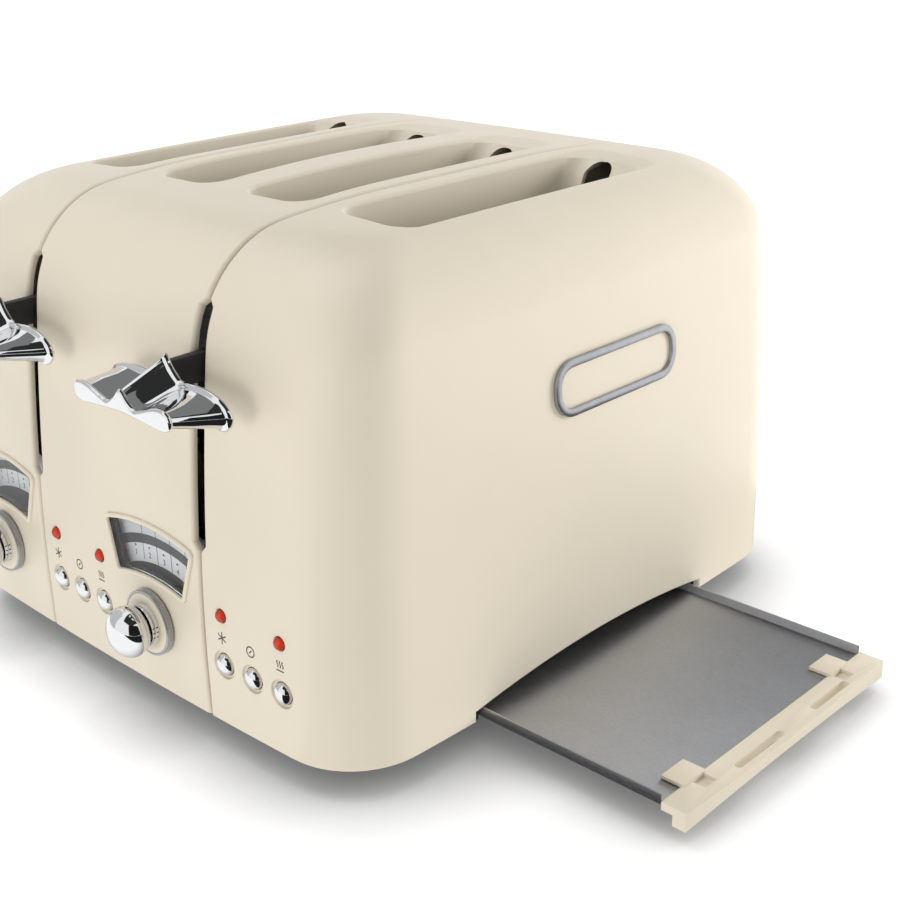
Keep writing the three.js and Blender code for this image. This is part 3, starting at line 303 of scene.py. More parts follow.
def turned(profile: Sequence[Sequence[float]], centre: Sequence[float], axis: Sequence[float], steps: int) -> Skin:
    """Turns a profile about an axis.

    Args:
        profile: Pairs of distance along the axis and radius; a radius of zero closes the end.
        centre: Where distance zero lies.
        axis: Direction of the axis.
        steps: Number of facets round.

    Returns:
        The turned skin.
    """
    along = Vector(axis).normalized()
    side = along.orthogonal().normalized()
    other = along.cross(side)
    origin = Vector(centre)
    rings = []
    for distance, radius in profile:
        ring = []
        for i in range(steps):
            angle = 2 * math.pi * i / steps
            ring.append(origin + along * distance + (side * math.cos(angle) + other * math.sin(angle)) * radius)
        rings.append(ring)
    return loft(rings)


def arc_points(centre: Sequence[float], radius: float, start: float, end: float,
               steps: int) -> list[Pair]:
    """Points on a flat arc.

    Args:
        centre: Middle of the arc.
        radius: Its radius.
        start: First angle in degrees.
        end: Last angle in degrees.
        steps: Number of pieces.

    Returns:
        The steps + 1 points in order.
    """
    made = []
    for i in range(steps + 1):
        angle = math.radians(start + (end - start) * i / steps)
        made.append((centre[0] + radius * math.cos(angle), centre[1] + radius * math.sin(angle)))
    return made


def rolled(fillet: float, degrees: Sequence[float]) -> list[Pair]:
    """Points round an eased edge, from the wall up to the face.

    Args:
        fillet: Radius of the edge.
        degrees: Angles round it.

    Returns:
        Pairs of depth under the face and distance out from the wall.
    """
    return [(fillet * (1 - math.sin(angle)), fillet * (1 - math.cos(angle))) for angle in map(math.radians, degrees)]


def domed(start: float, rise: float, radius: float, steps: int) -> list[Pair]:
    """Profile of a quarter dome that turned() closes at its tip.

    Args:
        start: Distance along the axis at its foot.
        rise: Its height.
        radius: Its radius at the foot.
        steps: Number of points.

    Returns:
        Pairs of distance along the axis and radius.
    """
    turns = [math.radians(degrees) for degrees in np.linspace(0, 90, steps)]
    return [(start + rise * math.sin(turn), radius * math.cos(turn)) for turn in turns]


def linked(name: str, data: bpy.types.ID) -> Piece:
    """A new object of the given data in the scene."""
    made = bpy.data.objects.new(name, data)
    bpy.context.scene.collection.objects.link(made)
    return made


def rounded_box_outline(centre: Sequence[float], size: Sequence[float], radius: float, corner: int = 5,
                        along: int = 1, across: int = 1) -> np.ndarray:
    """Outline of a rounded rectangle, anticlockwise from its lower right corner.

    Args:
        centre: Middle of the rectangle.
        size: Its width and its length.
        radius: Radius of the corners.
        corner: Pieces in each corner.
        along: Pieces in each long side.
        across: Pieces in each short side.

    Returns:
        Array of shape (n, 2).
    """
    half = (size[0] / 2 - radius, size[1] / 2 - radius)
    corners = [(1, -1, -90, along), (1, 1, 0, across), (-1, 1, 90, along), (-1, -1, 180, across)]
    points: list[Pair] = []
    for number, (sx, sy, start, pieces) in enumerate(corners):
        middle = (centre[0] + sx * half[0], centre[1] + sy * half[1])
        arc = arc_points(middle, radius, start, start + 90, corner)
        points.extend(arc)
        nx, ny, next_start, _ = corners[(number + 1) % 4]
        next_middle = (centre[0] + nx * half[0], centre[1] + ny * half[1])
        target = arc_points(next_middle, radius, next_start, next_start + 90, corner)[0]
        for i in range(1, pieces):
            share = i / pieces
            points.append(tuple(a + (b - a) * share for a, b in zip(arc[-1], target)))
    return np.array(points)


def smooth_line(points: np.ndarray, spread: float, closed: bool) -> np.ndarray:
    """Rounds off the kinks of a dense line by a local average along its length.

    Args:
        points: Array of shape (n, k), whose first two columns give the line's length.
        spread: Standard width of the average in millimetres.
        closed: Whether the line runs round.

    Returns:
        Array of the same shape.
    """
    steps = np.linalg.norm(np.diff(points[:, :2], axis=0), axis=1)
    place = np.concatenate([[0.0], np.cumsum(steps)])
    whole = place[-1] + (np.linalg.norm(points[0, :2] - points[-1, :2]) if closed else 0.0)
    gap = np.abs(place[:, None] - place[None, :])
    if closed:
        gap = np.minimum(gap, whole - gap)
    spacing = np.gradient(place)
    weight = np.exp(-0.5 * (gap / spread) ** 2) * spacing[None, :]
    average = (weight @ points) / weight.sum(axis=1, keepdims=True)
    if closed:
        return average
    reach = 3 * spread
    free = np.clip(np.minimum(place, whole - place) / reach, 0, 1)[:, None]
    return points + (average - points) * free


def catmull_rom(points: Sequence[Sequence[float]], pieces: int, closed: bool = True) -> np.ndarray:
    """Smooth line through the given points.

    Args:
        points: The points to pass through.
        pieces: Pieces between neighbouring points.
        closed: Whether the line runs round.

    Returns:
        Array of the points of the smooth line.
    """
    row = np.asarray(points, float)
    count = len(row)
    made = []
    for i in range(count if closed else count - 1):
        pick = [(i + k) % count if closed else min(max(i + k, 0), count - 1) for k in (-1, 0, 1, 2)]
        p0, p1, p2, p3 = (row[k] for k in pick)
        for step in range(pieces):
            t = step / pieces
            made.append(0.5 * (2 * p1 + (p2 - p0) * t + (2 * p0 - 5 * p1 + 4 * p2 - p3) * t ** 2
                               + (3 * p1 - p0 - 3 * p2 + p3) * t ** 3))
    if not closed:
        made.append(row[-1])
    return np.array(made)


@dataclass
class Workshop:
    """Turns skins into objects of the frame and does the mesh work they share."""

    placement: Placement

    def piece(self, name: str, skin: Skin, body: str | None = None, smooth: float | None = 35.0) -> Piece:
        """Makes an object from a skin, its doubles merged and its faces outward.

        Args:
            name: Name of the object.
            skin: Shape in millimetres.
            body: CAD body that it rides on, or None for a tool that is thrown away.
            smooth: Angle in degrees up to which edges look smooth, or None for flat faces.

        Returns:
            The new object.
        """
        mesh = bpy.data.meshes.new(name)
        mesh.from_pydata(self.placement.metres(skin.points).tolist(), [], skin.faces)
        tidy = bmesh.new()
        tidy.from_mesh(mesh)
        bmesh.ops.remove_doubles(tidy, verts=tidy.verts, dist=MERGE)
        bmesh.ops.dissolve_degenerate(tidy, edges=tidy.edges, dist=SLIVER)
        bmesh.ops.recalc_face_normals(tidy, faces=tidy.faces)
        tidy.to_mesh(mesh)
        tidy.free()
        made = linked(name, mesh)
        if smooth is not None:
            self.soften(made, smooth)
        if body is not None:
            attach(made, body)
        return made

    def node_box(self, node: str) -> tuple[Vector, Vector]:
        """Corners of a node in millimetres about the case."""
        low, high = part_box(node)
        return self.placement.millimetres(low), self.placement.millimetres(high)

    def soften(self, made: Piece, angle: float) -> None:
        """Shades an object smooth up to an angle in degrees."""
        made.data.polygons.foreach_set("use_smooth", [True] * len(made.data.polygons))
        made.data.set_sharp_from_angle(angle=math.radians(angle))

    def apply(self, made: Piece) -> None:
        """Fixes all modifiers of an object into its mesh.

        Args:
            made: The object.
        """
        bpy.context.view_layer.update()
        graph = bpy.context.evaluated_depsgraph_get()
        mesh = bpy.data.meshes.new_from_object(made.evaluated_get(graph))
        made.modifiers.clear()
        old = made.data
        made.data = mesh
        bpy.data.meshes.remove(old)

    def boolean(self, made: Piece, tool: Skin, operation: str) -> None:
        """Cuts a tool out of an object or joins it on.

        Args:
            made: The object to change.
            tool: The tool's shape.
            operation: DIFFERENCE, UNION or INTERSECT.
        """
        cutter = self.piece("tool", tool, smooth=None)
        step = made.modifiers.new("cut", "BOOLEAN")
        step.operation = operation
        step.solver = "MANIFOLD"
        step.object = cutter
        self.apply(made)
        mesh = cutter.data
        bpy.data.objects.remove(cutter)
        bpy.data.meshes.remove(mesh)

    def copy_node(self, node: str, name: str, body: str, bevel: float, smooth: float = 35.0,
                  segments: int = 3) -> Piece:
        """Makes a merged copy of a CAD node with rounded edges that stands for it.

        Args:
            node: Name of the CAD node.
            name: Name of the new piece.
            body: CAD body that it rides on.
            bevel: Width of the rounding in millimetres.
            smooth: Largest smooth angle in degrees.
            segments: Pieces across the rounding.

        Returns:
            The new piece.
        """
        source = bpy.data.objects[node]
        made = linked(name, source.data.copy())
        made.data.materials.clear()
        tidy = bmesh.new()
        tidy.from_mesh(made.data)
        bmesh.ops.remove_doubles(tidy, verts=tidy.verts, dist=CAD_MERGE)
        bmesh.ops.dissolve_limit(tidy, angle_limit=FLAT_ANGLE, verts=tidy.verts, edges=tidy.edges)
        bmesh.ops.recalc_face_normals(tidy, faces=tidy.faces)
        tidy.to_mesh(made.data)
        tidy.free()
        if bevel:
            edge = made.modifiers.new("round", "BEVEL")
            edge.width = bevel * MM
            edge.segments = segments
            edge.limit_method = "ANGLE"
            edge.angle_limit = BEVEL_ANGLE
            edge.use_clamp_overlap = True
            self.apply(made)
        self.soften(made, smooth)
        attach(made, body)
        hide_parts(node)
        return made

    def split(self, made: Piece) -> list[Piece]:
        """Takes an object apart into its loose bodies.

        Args:
            made: The object, which is used up.

        Returns:
            One object for each loose body.
        """
        bpy.ops.object.select_all(action="DESELECT")
        made.select_set(True)
        bpy.context.view_layer.objects.active = made
        bpy.ops.object.mode_set(mode="EDIT")
        bpy.ops.mesh.select_all(action="SELECT")
        bpy.ops.mesh.separate(type="LOOSE")
        bpy.ops.object.mode_set(mode="OBJECT")
        return [piece for piece in bpy.context.selected_objects if piece.type == "MESH"]


# ---------------------------------------------------------------- case surface


@dataclass(frozen=True)
class FaceProfile:
    """How one kind of face runs from the bottom edge over the shoulder to the crown."""

    half: float
    lean: float
    top_radius: float


@dataclass(frozen=True)
class SurfacePoint:
    """One place on the case's surface, in millimetres, with its outward direction."""

    place: Vector
    normal: Vector


@dataclass(frozen=True)
class CaseShape:
    """Sizes of the case in millimetres, and the smooth surface that follows from them."""

    width: float = 284.0
    depth: float = 294.0
    bottom: float = 13.3
    shoulder: float = 206.25
    crown_rise: float = 4.1
    corner_radius: float = 34.0
    bulge: float = 2.0
    wall: float = 3.0
    bottom_roll: float = 1.4
    lean_start: float = 40.0
    lean_power: float = 1.7
    arc_start: float = 8.0
    arc_end: float = 84.0
    spread: float = 3.2
    front: FaceProfile = FaceProfile(147.0, 9.9, 48.0)
    rear: FaceProfile = FaceProfile(147.0, 2.5, 41.0)
    side: FaceProfile = FaceProfile(142.0, 5.2, 38.5)
    slot_xs: tuple[float, ...] = (-85.5, -28.5, 28.5, 85.5)

    def profile(self, face: FaceProfile, inset: float) -> np.ndarray:
        """Dense profile of a face, its kinks eased.

        Args:
            face: The face's sizes.
            inset: How far inside the outer surface it runs.

        Returns:
            Array of pairs of outward reach and height, and the same number for every face.
        """
        radius = face.top_radius - inset
        arc_z = self.shoulder - inset - radius * math.sin(math.radians(self.arc_end))
        start_z = arc_z + radius * math.sin(math.radians(self.arc_start))
        reach = face.half - inset - face.lean - radius * math.cos(math.radians(self.arc_start))
        line = []
        for share in np.linspace(0, 1, PROFILE_WALL):
            z = self.bottom + share * (start_z - self.bottom)
            rise = max(0.0, (z - self.lean_start) / (start_z - self.lean_start))
            line.append((face.half - inset - face.lean * rise ** self.lean_power, z))
        for angle in np.linspace(self.arc_start, self.arc_end, PROFILE_ARC)[1:]:
            turn = math.radians(angle)
            line.append((reach + radius * math.cos(turn), arc_z + radius * math.sin(turn)))
        edge_out, edge_z = line[-1]
        for share in np.linspace(1, 0, PROFILE_CROWN)[1:]:
            line.append((edge_out * share, edge_z + self.crown_rise * (1 - share * share)))
        eased = smooth_line(np.array(line), self.spread, closed=False)
        if inset == 0:
            low = eased[:, 1] < self.bottom + self.bottom_roll
            depth = (self.bottom + self.bottom_roll - eased[low, 1]) / self.bottom_roll
            eased[low, 0] -= self.bottom_roll * (1 - np.sqrt(np.clip(1 - depth ** 2, 0, 1)))
        return eased

    def outline(self, inset: float) -> np.ndarray:
        """Dense plan outline, its kinks eased.

        Args:
            inset: How far inside the outer surface it runs.

        Returns:
            Array of x, y and how far the point belongs to the front or rear face.
        """
        a = self.width / 2 - inset
        b = self.depth / 2 - inset
        radius = self.corner_radius - inset
        corner_x = a - self.bulge - radius
        corner_y = b - self.bulge - radius
        quarter = []
        for share in np.linspace(0, 1, OUTLINE_FACE)[:-1]:
            quarter.append((a - self.bulge * share ** 2, corner_y * share, 0.0))
        for turn in np.linspace(0, math.pi / 2, OUTLINE_CORNER):
            quarter.append((corner_x + radius * math.cos(turn), corner_y + radius * math.sin(turn),
                            math.sin(turn) ** 2))
        for share in np.linspace(1, 0, OUTLINE_FACE)[1:]:
            quarter.append((corner_x * share, b - self.bulge * share ** 2, 1.0))
        upper = quarter + [(-x, y, f) for x, y, f in reversed(quarter[:-1])]
        lower = [(x, -y, f) for x, y, f in reversed(upper[1:-1])]
        return smooth_line(np.array(upper + lower), self.spread, closed=True)

    def grid(self, inset: float, fine: bool) -> np.ndarray:
        """Rings of points on the case's surface, from the bottom edge to the middle of the top.

        Args:
            inset: How far inside the outer surface it runs.
            fine: Whether the rings lie close together.

        Returns:
            Array of shape (rings, points, 3).
        """
        plan = self.outline(inset)[self.plan_picks()]
        picks = self.level_picks(fine)
        front, rear, side = (self.profile(face, inset)[picks] for face in (self.front, self.rear, self.side))
        is_front = plan[:, 1] < 0
        rings = []
        for level in range(len(picks)):
            out = np.where(is_front, front[level, 0], rear[level, 0])
            z = np.where(is_front, front[level, 1], rear[level, 1])
            share = plan[:, 2]
            rings.append(np.stack([
                plan[:, 0] * side[level, 0] / (self.width / 2 - inset),
                plan[:, 1] * out / (self.depth / 2 - inset),
                share * z + (1 - share) * side[level, 1],
            ], axis=1))
        return np.array(rings)

    @staticmethod
    def plan_picks() -> list[int]:
        """Which points of the dense outline are kept: close at the corners, wide on the faces."""
        face = list(range(0, OUTLINE_FACE - 1, OUTLINE_FACE_STEP))
        corner = list(range(OUTLINE_FACE - 1, OUTLINE_FACE - 1 + OUTLINE_CORNER, OUTLINE_CORNER_STEP))
        last = 2 * (OUTLINE_FACE - 1) + OUTLINE_CORNER - 1
        quarter = face + corner + [last - i for i in reversed(face)]
        upper = quarter + [2 * last - i for i in reversed(quarter[:-1])]
        return upper + [4 * last - i for i in reversed(upper[1:-1])]

    @staticmethod
    def level_picks(fine: bool) -> list[int]:
        """Which points of the dense profile are kept.

        Args:
            fine: Whether the levels lie close together.

        Returns:
            Rising list of places in the profile.
        """
        wide = 1 if fine else 3
        arc_end = PROFILE_WALL + PROFILE_ARC - 2
        roll = list(range(0, ROLL_LEVELS)) if fine else [0]
        wall = list(range(PROFILE_WALL_STEP, PROFILE_WALL - 1, PROFILE_WALL_STEP * wide))
        arc = list(range(PROFILE_WALL - 1, arc_end, PROFILE_ARC_STEP * wide))
        crown = list(range(arc_end, arc_end + PROFILE_CROWN - 2, PROFILE_CROWN_STEP * wide))
        return sorted(set(roll + wall + arc + crown + [arc_end + PROFILE_CROWN - 1]))


class SurfaceProbe:
    """Answers where the outer surface lies and which way it faces, in millimetres about the case."""

    def __init__(self, shape: CaseShape) -> None:
        """Builds the search tree of the outer surface.

        Args:
            shape: The case.
        """
        rings = shape.grid(0.0, fine=True)
        count, size = rings.shape[:2]
        after = np.roll(rings, -1, axis=1) - np.roll(rings, 1, axis=1)
        up = np.gradient(rings, axis=0)
        normals = np.cross(after, up)
        normals /= np.linalg.norm(normals, axis=2, keepdims=True) + TINY
        normals[-1] = (0, 0, 1)
        self.points = [Vector(p) for p in rings.reshape(-1, 3)]
        self.normals = [Vector(n) for n in normals.reshape(-1, 3)]
        self.faces = [
            (r * size + i, r * size + (i + 1) % size, (r + 1) * size + (i + 1) % size, (r + 1) * size + i)
            for r in range(count - 1) for i in range(size)
        ]
        self.tree = BVHTree.FromPolygons(self.points, self.faces)

    def at(self, hit: Vector, face: int) -> SurfacePoint:
        """The surface point with its eased normal at a place found on a face.

        Args:
            hit: The place.
            face: Number of the face it lies on.

        Returns:
            The surface point.
        """
        corners = self.faces[face]
        weights = poly_3d_calc([self.points[i] for i in corners], hit)
        normal = Vector((0.0, 0.0, 0.0))
        for i, weight in zip(corners, weights):
            normal += self.normals[i] * weight
        return SurfacePoint(hit, normal.normalized())

    def cast(self, origin: Sequence[float], direction: Sequence[float]) -> SurfacePoint:
        """Where a straight line meets the surface.

        Args:
            origin: Where the line starts.
            direction: Which way it goes.

        Returns:
            The first surface point on it.

        Raises:
            ValueError: If the line misses the case.
        """
        hit, _, face, _ = self.tree.ray_cast(Vector(origin), Vector(direction).normalized())
        if hit is None:
            raise ValueError(f"no case surface from {tuple(origin)} towards {tuple(direction)}")
        return self.at(hit, face)

    def front(self, x: float, z: float) -> SurfacePoint:
        """The front face at a place across it and a height."""
        return self.cast((x, -FAR, z), (0, 1, 0))

    def top(self, x: float, y: float) -> SurfacePoint:
        """The top at a place in plan."""
        return self.cast((x, y, FAR), (0, 0, -1))

    def right(self, y: float, z: float) -> SurfacePoint:
        """The right-hand side at a depth and a height."""
        return self.cast((FAR, y, z), (-1, 0, 0))

    def nearest(self, place: Vector, reach: float) -> SurfacePoint | None:
        """The closest surface point within a reach in millimetres, or None."""
        hit, _, face, _ = self.tree.find_nearest(place, reach)
        return None if hit is None else self.at(hit, face)


@dataclass(frozen=True)
class SlotSize:
    """Bread slot in millimetres: throat, flared and rounded lip, sloping rear wall and the notches at both ends."""

    y: float = 4.0
    width: float = 31.0
    length: float = 152.0
    radius: float = 5.0
    floor: float = 191.0
    flare: float = 3.2
    lip_radius: float = 10.0
    fillet: float = 2.3
    skirt: float = 2.2
    notch_width: float = 14.0
    notch_depth: float = 8.0
    notch_shift: float = -2.0
    notch_start: float = 50.0
    notch_round: float = 6.0
    ramp: float = 20.0
    ramp_slope: float = 0.3
    scoop: float = 15.0
    levels: tuple[float, ...] = (5.0, 10.0)
    under: float = 2.0
    over: float = 6.0
    roll_angles: tuple[float, ...] = (22.0, 36.0, 50.0, 64.0, 78.0)
    skirt_drop: float = 1.4
    pieces: tuple[int, int, int] = (7, 14, 4)
    notch_under: float = 6.0
    notch_steps: int = 8
    notch_top: float = 205.6
    nominal_top: float = 211.0


@dataclass(frozen=True)
class SeamSize:
    """Seam between the case's sections in millimetres, and the lever slot that it widens into."""

    half_gap: float = 0.6
    fillet: float = 1.9
    depth: float = 7.0
    lever_half: float = 3.4
    lever_low: float = 88.0
    lever_high: float = 181.0
    lead: float = 2.15
    spacing: float = 3.0
    clear: float = 0.5
    under: float = 3.0
    proud: float = 2.2


@dataclass(frozen=True)
class GaugeSize:
    """Arched gauge in millimetres: a ring sector about a point on the knob's own line."""

    knob_offset: float = 32.55
    knob_z: float = 45.0
    centre_z: float = -17.3
    outer: float = 105.7
    inner: float = 80.1
    half: float = 29.85
    corner: float = 3.0
    wall: float = 2.0
    gap: float = 0.12
    least_corner: float = 0.8
    window_gap: float = 0.45
    window_depths: Pair = (0.25, 1.25)
    window_shares: tuple[float, ...] = (0.0, 0.3, 0.6, 0.85, 1.0)

    def edge_angle(self, grow: float) -> Pair:
        """Half angles of the grown sector at its outer and its inner edge, in radians."""
        base = math.asin(self.half / self.outer)
        return base + math.asin(grow / (self.outer + grow)), base + math.asin(grow / (self.inner - grow))

    def outline(self, x: float, grow: float, steps: int = 18, corner_steps: int = 5) -> np.ndarray:
        """Outline of the sector with rounded corners, seen from the front.

        Args:
            x: Place of the knob's line across the case.
            grow: How far outside the plain sector it runs.
            steps: Pieces along each arc.
            corner_steps: Pieces in each corner.

        Returns:
            Array of x and z, anticlockwise.
        """
        outer, inner = self.outer + grow, self.inner - grow
        outer_half, inner_half = self.edge_angle(grow)
        corner = max(self.corner + grow, self.least_corner)
        raw = []
        for i in range(steps * 4 + 1):
            turn = -inner_half + 2 * inner_half * i / (steps * 4)
            raw.append((x + inner * math.sin(turn), self.centre_z + inner * math.cos(turn)))
        for i in range(steps * 4 + 1):
            turn = outer_half - 2 * outer_half * i / (steps * 4)
            raw.append((x + outer * math.sin(turn), self.centre_z + outer * math.cos(turn)))
        return round_corners(np.array(raw), corner, corner_steps, steps)


def round_corners(outline: np.ndarray, radius: float, corner_steps: int, side_steps: int,
                  sharp: float = 40.0) -> np.ndarray:
    """Replaces the sharp corners of an outline by arcs and spaces its sides evenly.

    Args:
        outline: Array of shape (n, 2).
        radius: Radius of the arcs.
        corner_steps: Pieces in each arc.
        side_steps: Pieces in each side.
        sharp: Turning angle in degrees that counts as a corner.

    Returns:
        Array of the new outline.
    """
    before = outline - np.roll(outline, 1, axis=0)
    after = np.roll(outline, -1, axis=0) - outline
    turning = np.degrees(np.abs(np.arctan2(before[:, 0] * after[:, 1] - before[:, 1] * after[:, 0],
                                           (before * after).sum(axis=1))))
    corners = [i for i in range(len(outline)) if turning[i] > sharp]
    made: list[np.ndarray] = []
    for number, start in enumerate(corners):
        end = corners[(number + 1) % len(corners)]
        row = [outline[k % len(outline)] for k in range(start, end + (len(outline) if end <= start else 0) + 1)]
        line = np.array(row)
        lengths = np.concatenate([[0], np.cumsum(np.linalg.norm(np.diff(line, axis=0), axis=1))])
        first = trim_of(outline, start, radius)
        last = trim_of(outline, end, radius)
        stations = np.linspace(first, lengths[-1] - last, side_steps + 1)
        side = np.stack([np.interp(stations, lengths, line[:, k]) for k in (0, 1)], axis=1)
        made.extend(side)
        tip = outline[end]
        entry = side[-1]
        leave_dir = outline[(end + 1) % len(outline)] - tip
        leave = tip + leave_dir / np.linalg.norm(leave_dir) * last
        for k in range(1, corner_steps):
            t = k / corner_steps
            weight = CORNER_FULLNESS
            numerator = (1 - t) ** 2 * entry + 2 * weight * t * (1 - t) * tip + t ** 2 * leave
            made.append(numerator / ((1 - t) ** 2 + 2 * weight * t * (1 - t) + t ** 2))
    return np.array(made)


def trim_of(outline: np.ndarray, corner: int, radius: float) -> float:
    """How far from a corner its arc begins.

    Args:
        outline: Array of shape (n, 2).
        corner: Number of the corner's point.
        radius: Radius of the arc.

    Returns:
        The distance along either side.
    """
    tip = outline[corner]
    one = outline[corner - 1] - tip
    two = outline[(corner + 1) % len(outline)] - tip
    cosine = one @ two / (np.linalg.norm(one) * np.linalg.norm(two))
    return radius / math.tan(math.acos(max(-1.0, min(1.0, cosine))) / 2)


class Side(Enum):
    """The two like modules, by the place of their lever across the case."""

    LEFT = -57.0
    RIGHT = 57.0

    @property
    def label(self) -> str:
        """The word that the node names end in."""
        return self.name.lower()


@dataclass(frozen=True)
class ControlSize:
    """Buttons and lamps of one module in millimetres, measured from its lever."""

    button_first: float = 12.0
    button_pitch: float = 16.701
    button_z: float = 41.0
    button_radius: float = 4.5
    recess_radius: float = 5.8
    recess_depth: float = 1.2
    recess_fillet: float = 0.7
    recess_step: float = 0.4
    recess_proud: float = 0.12
    recess_angles: tuple[float, ...] = (0.0, 25.0, 50.0, 75.0)
    hole_depth: float = 12.0
    round_depth: float = 14.0
    round_proud: float = 0.1
    round_angles: tuple[float, ...] = (35.0, 70.0)
    clear: float = 3.0
    lamp_z: float = 62.5
    lamp_radius: float = 2.6
    gap: float = 0.3
    names: tuple[str, ...] = ("defrost", "cancel", "reheat")
    lamps: tuple[int, ...] = (0, 2)

    def button_x(self, side: Side, number: int) -> float:
        """Where a button stands across the case."""
        return side.value + self.button_first + self.button_pitch * number


@dataclass(frozen=True)
class ArchSize:
    """Low arch over the crumb tray in millimetres."""

    y: float = -3.0
    half: float = 76.0
    end_z: float = 18.0
    top_z: float = 24.5
    fillet: float = 1.2
    angles: tuple[float, ...] = (20.0, 40.0, 60.0, 78.0)
    rim: float = 0.5
    proud: float = 0.13
    clear: float = 4.0
    cut: float = 24.0
    lowest: float = 16.0
    under: float = 4.0
    steps: int = 28


@dataclass
class CaseShell:
    """The painted case: one smooth skin, cut by slots, seams and openings into its three sections."""

    shop: Workshop
    shape: CaseShape
    probe: SurfaceProbe
    slots: SlotSize
    seam: SeamSize
    gauge: GaugeSize
    controls: ControlSize
    arch: ArchSize

    def build(self) -> list[Piece]:
        """Builds the three sections of the case.

        Returns:
            The left, middle and right section.
        """
        whole = self.shop.piece("case_skin", self.skin(), smooth=None)
        self.shop.boolean(whole, join_skins([self.skirt(x) for x in self.shape.slot_xs]), "UNION")
        front = [cut for side in Side for cut in self.front_cuts(side)]
        self.shop.boolean(whole, join_skins([self.slot_cut(x) for x in self.shape.slot_xs] + front), "DIFFERENCE")
        notches = [self.notch_cut(x) for x in self.shape.slot_xs]
        self.shop.boolean(whole, join_skins(notches + [self.arch_cut(), self.inlet_cut()]), "DIFFERENCE")
        self.shop.boolean(whole, join_skins([self.seam_cut(side.value) for side in Side]), "DIFFERENCE")
        self.shop.soften(whole, SKIN_SMOOTH)
        sections = [piece for piece in self.shop.split(whole) if len(piece.data.polygons) > SECTION_FACES]
        sections.sort(key=self.middle_of)
        for section, name in zip(sections, ("left_end", "centre", "right_end"), strict=True):
            section.name = f"case_{name}"
            section.data.name = section.name
            self.true_normals(section)
            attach(section, "case")
            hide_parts(f"{name}_shell")
        return sections

    @staticmethod
    def middle_of(section: Piece) -> float:
        """Mean place of a section across the frame."""
        return sum(v.co.x for v in section.data.vertices) / len(section.data.vertices)

    def skin(self) -> Skin:
        """The uncut case as a closed wall."""
        outer = self.shape.grid(0.0, fine=True)
        inner = self.shape.grid(self.shape.wall, fine=False)
        inner[0, :, 2] = outer[0, :, 2]
        return loft(np.vstack([outer[::-1], inner]), capped=False)

    def slot_ring(self, x: float, grow: float, radius: float, ramp: float = 0.0) -> np.ndarray:
        """Plan outline of a slot grown outward, its rear end moved in by the ramp."""
        slots = self.slots
        size = (slots.width + 2 * grow, slots.length + 2 * grow - ramp)
        return rounded_box_outline((x, slots.y - ramp / 2), size, radius, *slots.pieces)

    def wall_grow(self, z: float) -> float:
        """How far the slot's wall has flared out at a height."""
        slots = self.slots
        return slots.flare * (z - slots.floor) / (slots.nominal_top - slots.floor)

    def wall_ramp(self, z: float) -> float:
        """How far the sloping rear wall has come in at a height."""
        slots = self.slots
        return slots.ramp - slots.ramp_slope * (z - slots.floor)

    def wall_radius(self, z: float) -> float:
        """Corner radius of the slot at a height."""
        slots = self.slots
        share = max(0.0, (z - slots.floor) / (slots.nominal_top - slots.floor))
        return slots.radius + (slots.lip_radius - slots.radius) * share

    def draped(self, ring: np.ndarray, drop: float) -> list[Triple]:
        """Lays a plan outline on the top, a little below it."""
        return [(x, y, self.probe.top(x, y).place.z - drop) for x, y in ring]

    def slot_cut(self, x: float) -> Skin:
        """Space of one bread slot with its rounded lip."""
        slots = self.slots
        top = slots.nominal_top
        wall_angle = math.atan(slots.flare / (top - slots.floor))
        centre = self.wall_grow(top - slots.fillet) + slots.fillet * math.cos(wall_angle)
        rings = []
        for z in (slots.floor - slots.under, *(slots.floor + level for level in slots.levels)):
            ring = self.slot_ring(x, self.wall_grow(z), self.wall_radius(z), self.wall_ramp(z))
            rings.append([(u, v, z) for u, v in ring])
        angles = np.radians([math.degrees(wall_angle), *slots.roll_angles])
        for angle in angles:
            grow = centre - slots.fillet * math.cos(angle)
            drop = slots.fillet * (1 - math.sin(angle))
            ramp = slots.scoop * drop / slots.fillet
            rings.append(self.draped(self.slot_ring(x, grow, slots.lip_radius + grow - slots.flare, ramp), drop))
        last = float(angles[-1])
        grow += FLARE_LENGTH * math.sin(last)
        drop -= FLARE_LENGTH * math.cos(last)
        outer = self.slot_ring(x, grow, slots.lip_radius + grow - slots.flare)
        rings.append(self.draped(outer, drop))
        rings.append([(u, v, top + slots.over) for u, v in outer])
        return loft(rings)

    def skirt(self, x: float) -> Skin:
        """Sheet wall round one slot, as a solid plug that the slot is cut from."""
        slots = self.slots
        rings = []
        for z in (slots.floor, *(slots.floor + level for level in slots.levels)):
            grow = self.wall_grow(z) + slots.skirt
            ring = self.slot_ring(x, grow, self.wall_radius(z) + slots.skirt, self.wall_ramp(z))
            rings.append([(u, v, z) for u, v in ring])
        grow = self.wall_grow(slots.nominal_top) + slots.skirt
        rings.append(self.draped(self.slot_ring(x, grow, slots.lip_radius + slots.skirt), slots.skirt_drop))
        return loft(rings)

    def notch_cut(self, x: float) -> Skin:
        """Round-topped notches in the walls at both ends of a slot."""
        slots = self.slots
        middle, half, rounding = x + slots.notch_shift, slots.notch_width / 2, slots.notch_round
        reach = slots.length / 2 + slots.notch_depth
        low, height, steps = slots.floor - slots.notch_under, slots.notch_top - rounding, slots.notch_steps
        section = [(middle - half, low), (middle + half, low)]
        section += arc_points((middle + half - rounding, height), rounding, 0, 90, steps)
        section += arc_points((middle - half + rounding, height), rounding, 90, 180, steps)
        ends = [loft([[(u, slots.y + end * place, v) for u, v in section[::end]]
                      for place in (reach, slots.notch_start)]) for end in (1, -1)]
        return join_skins(ends)

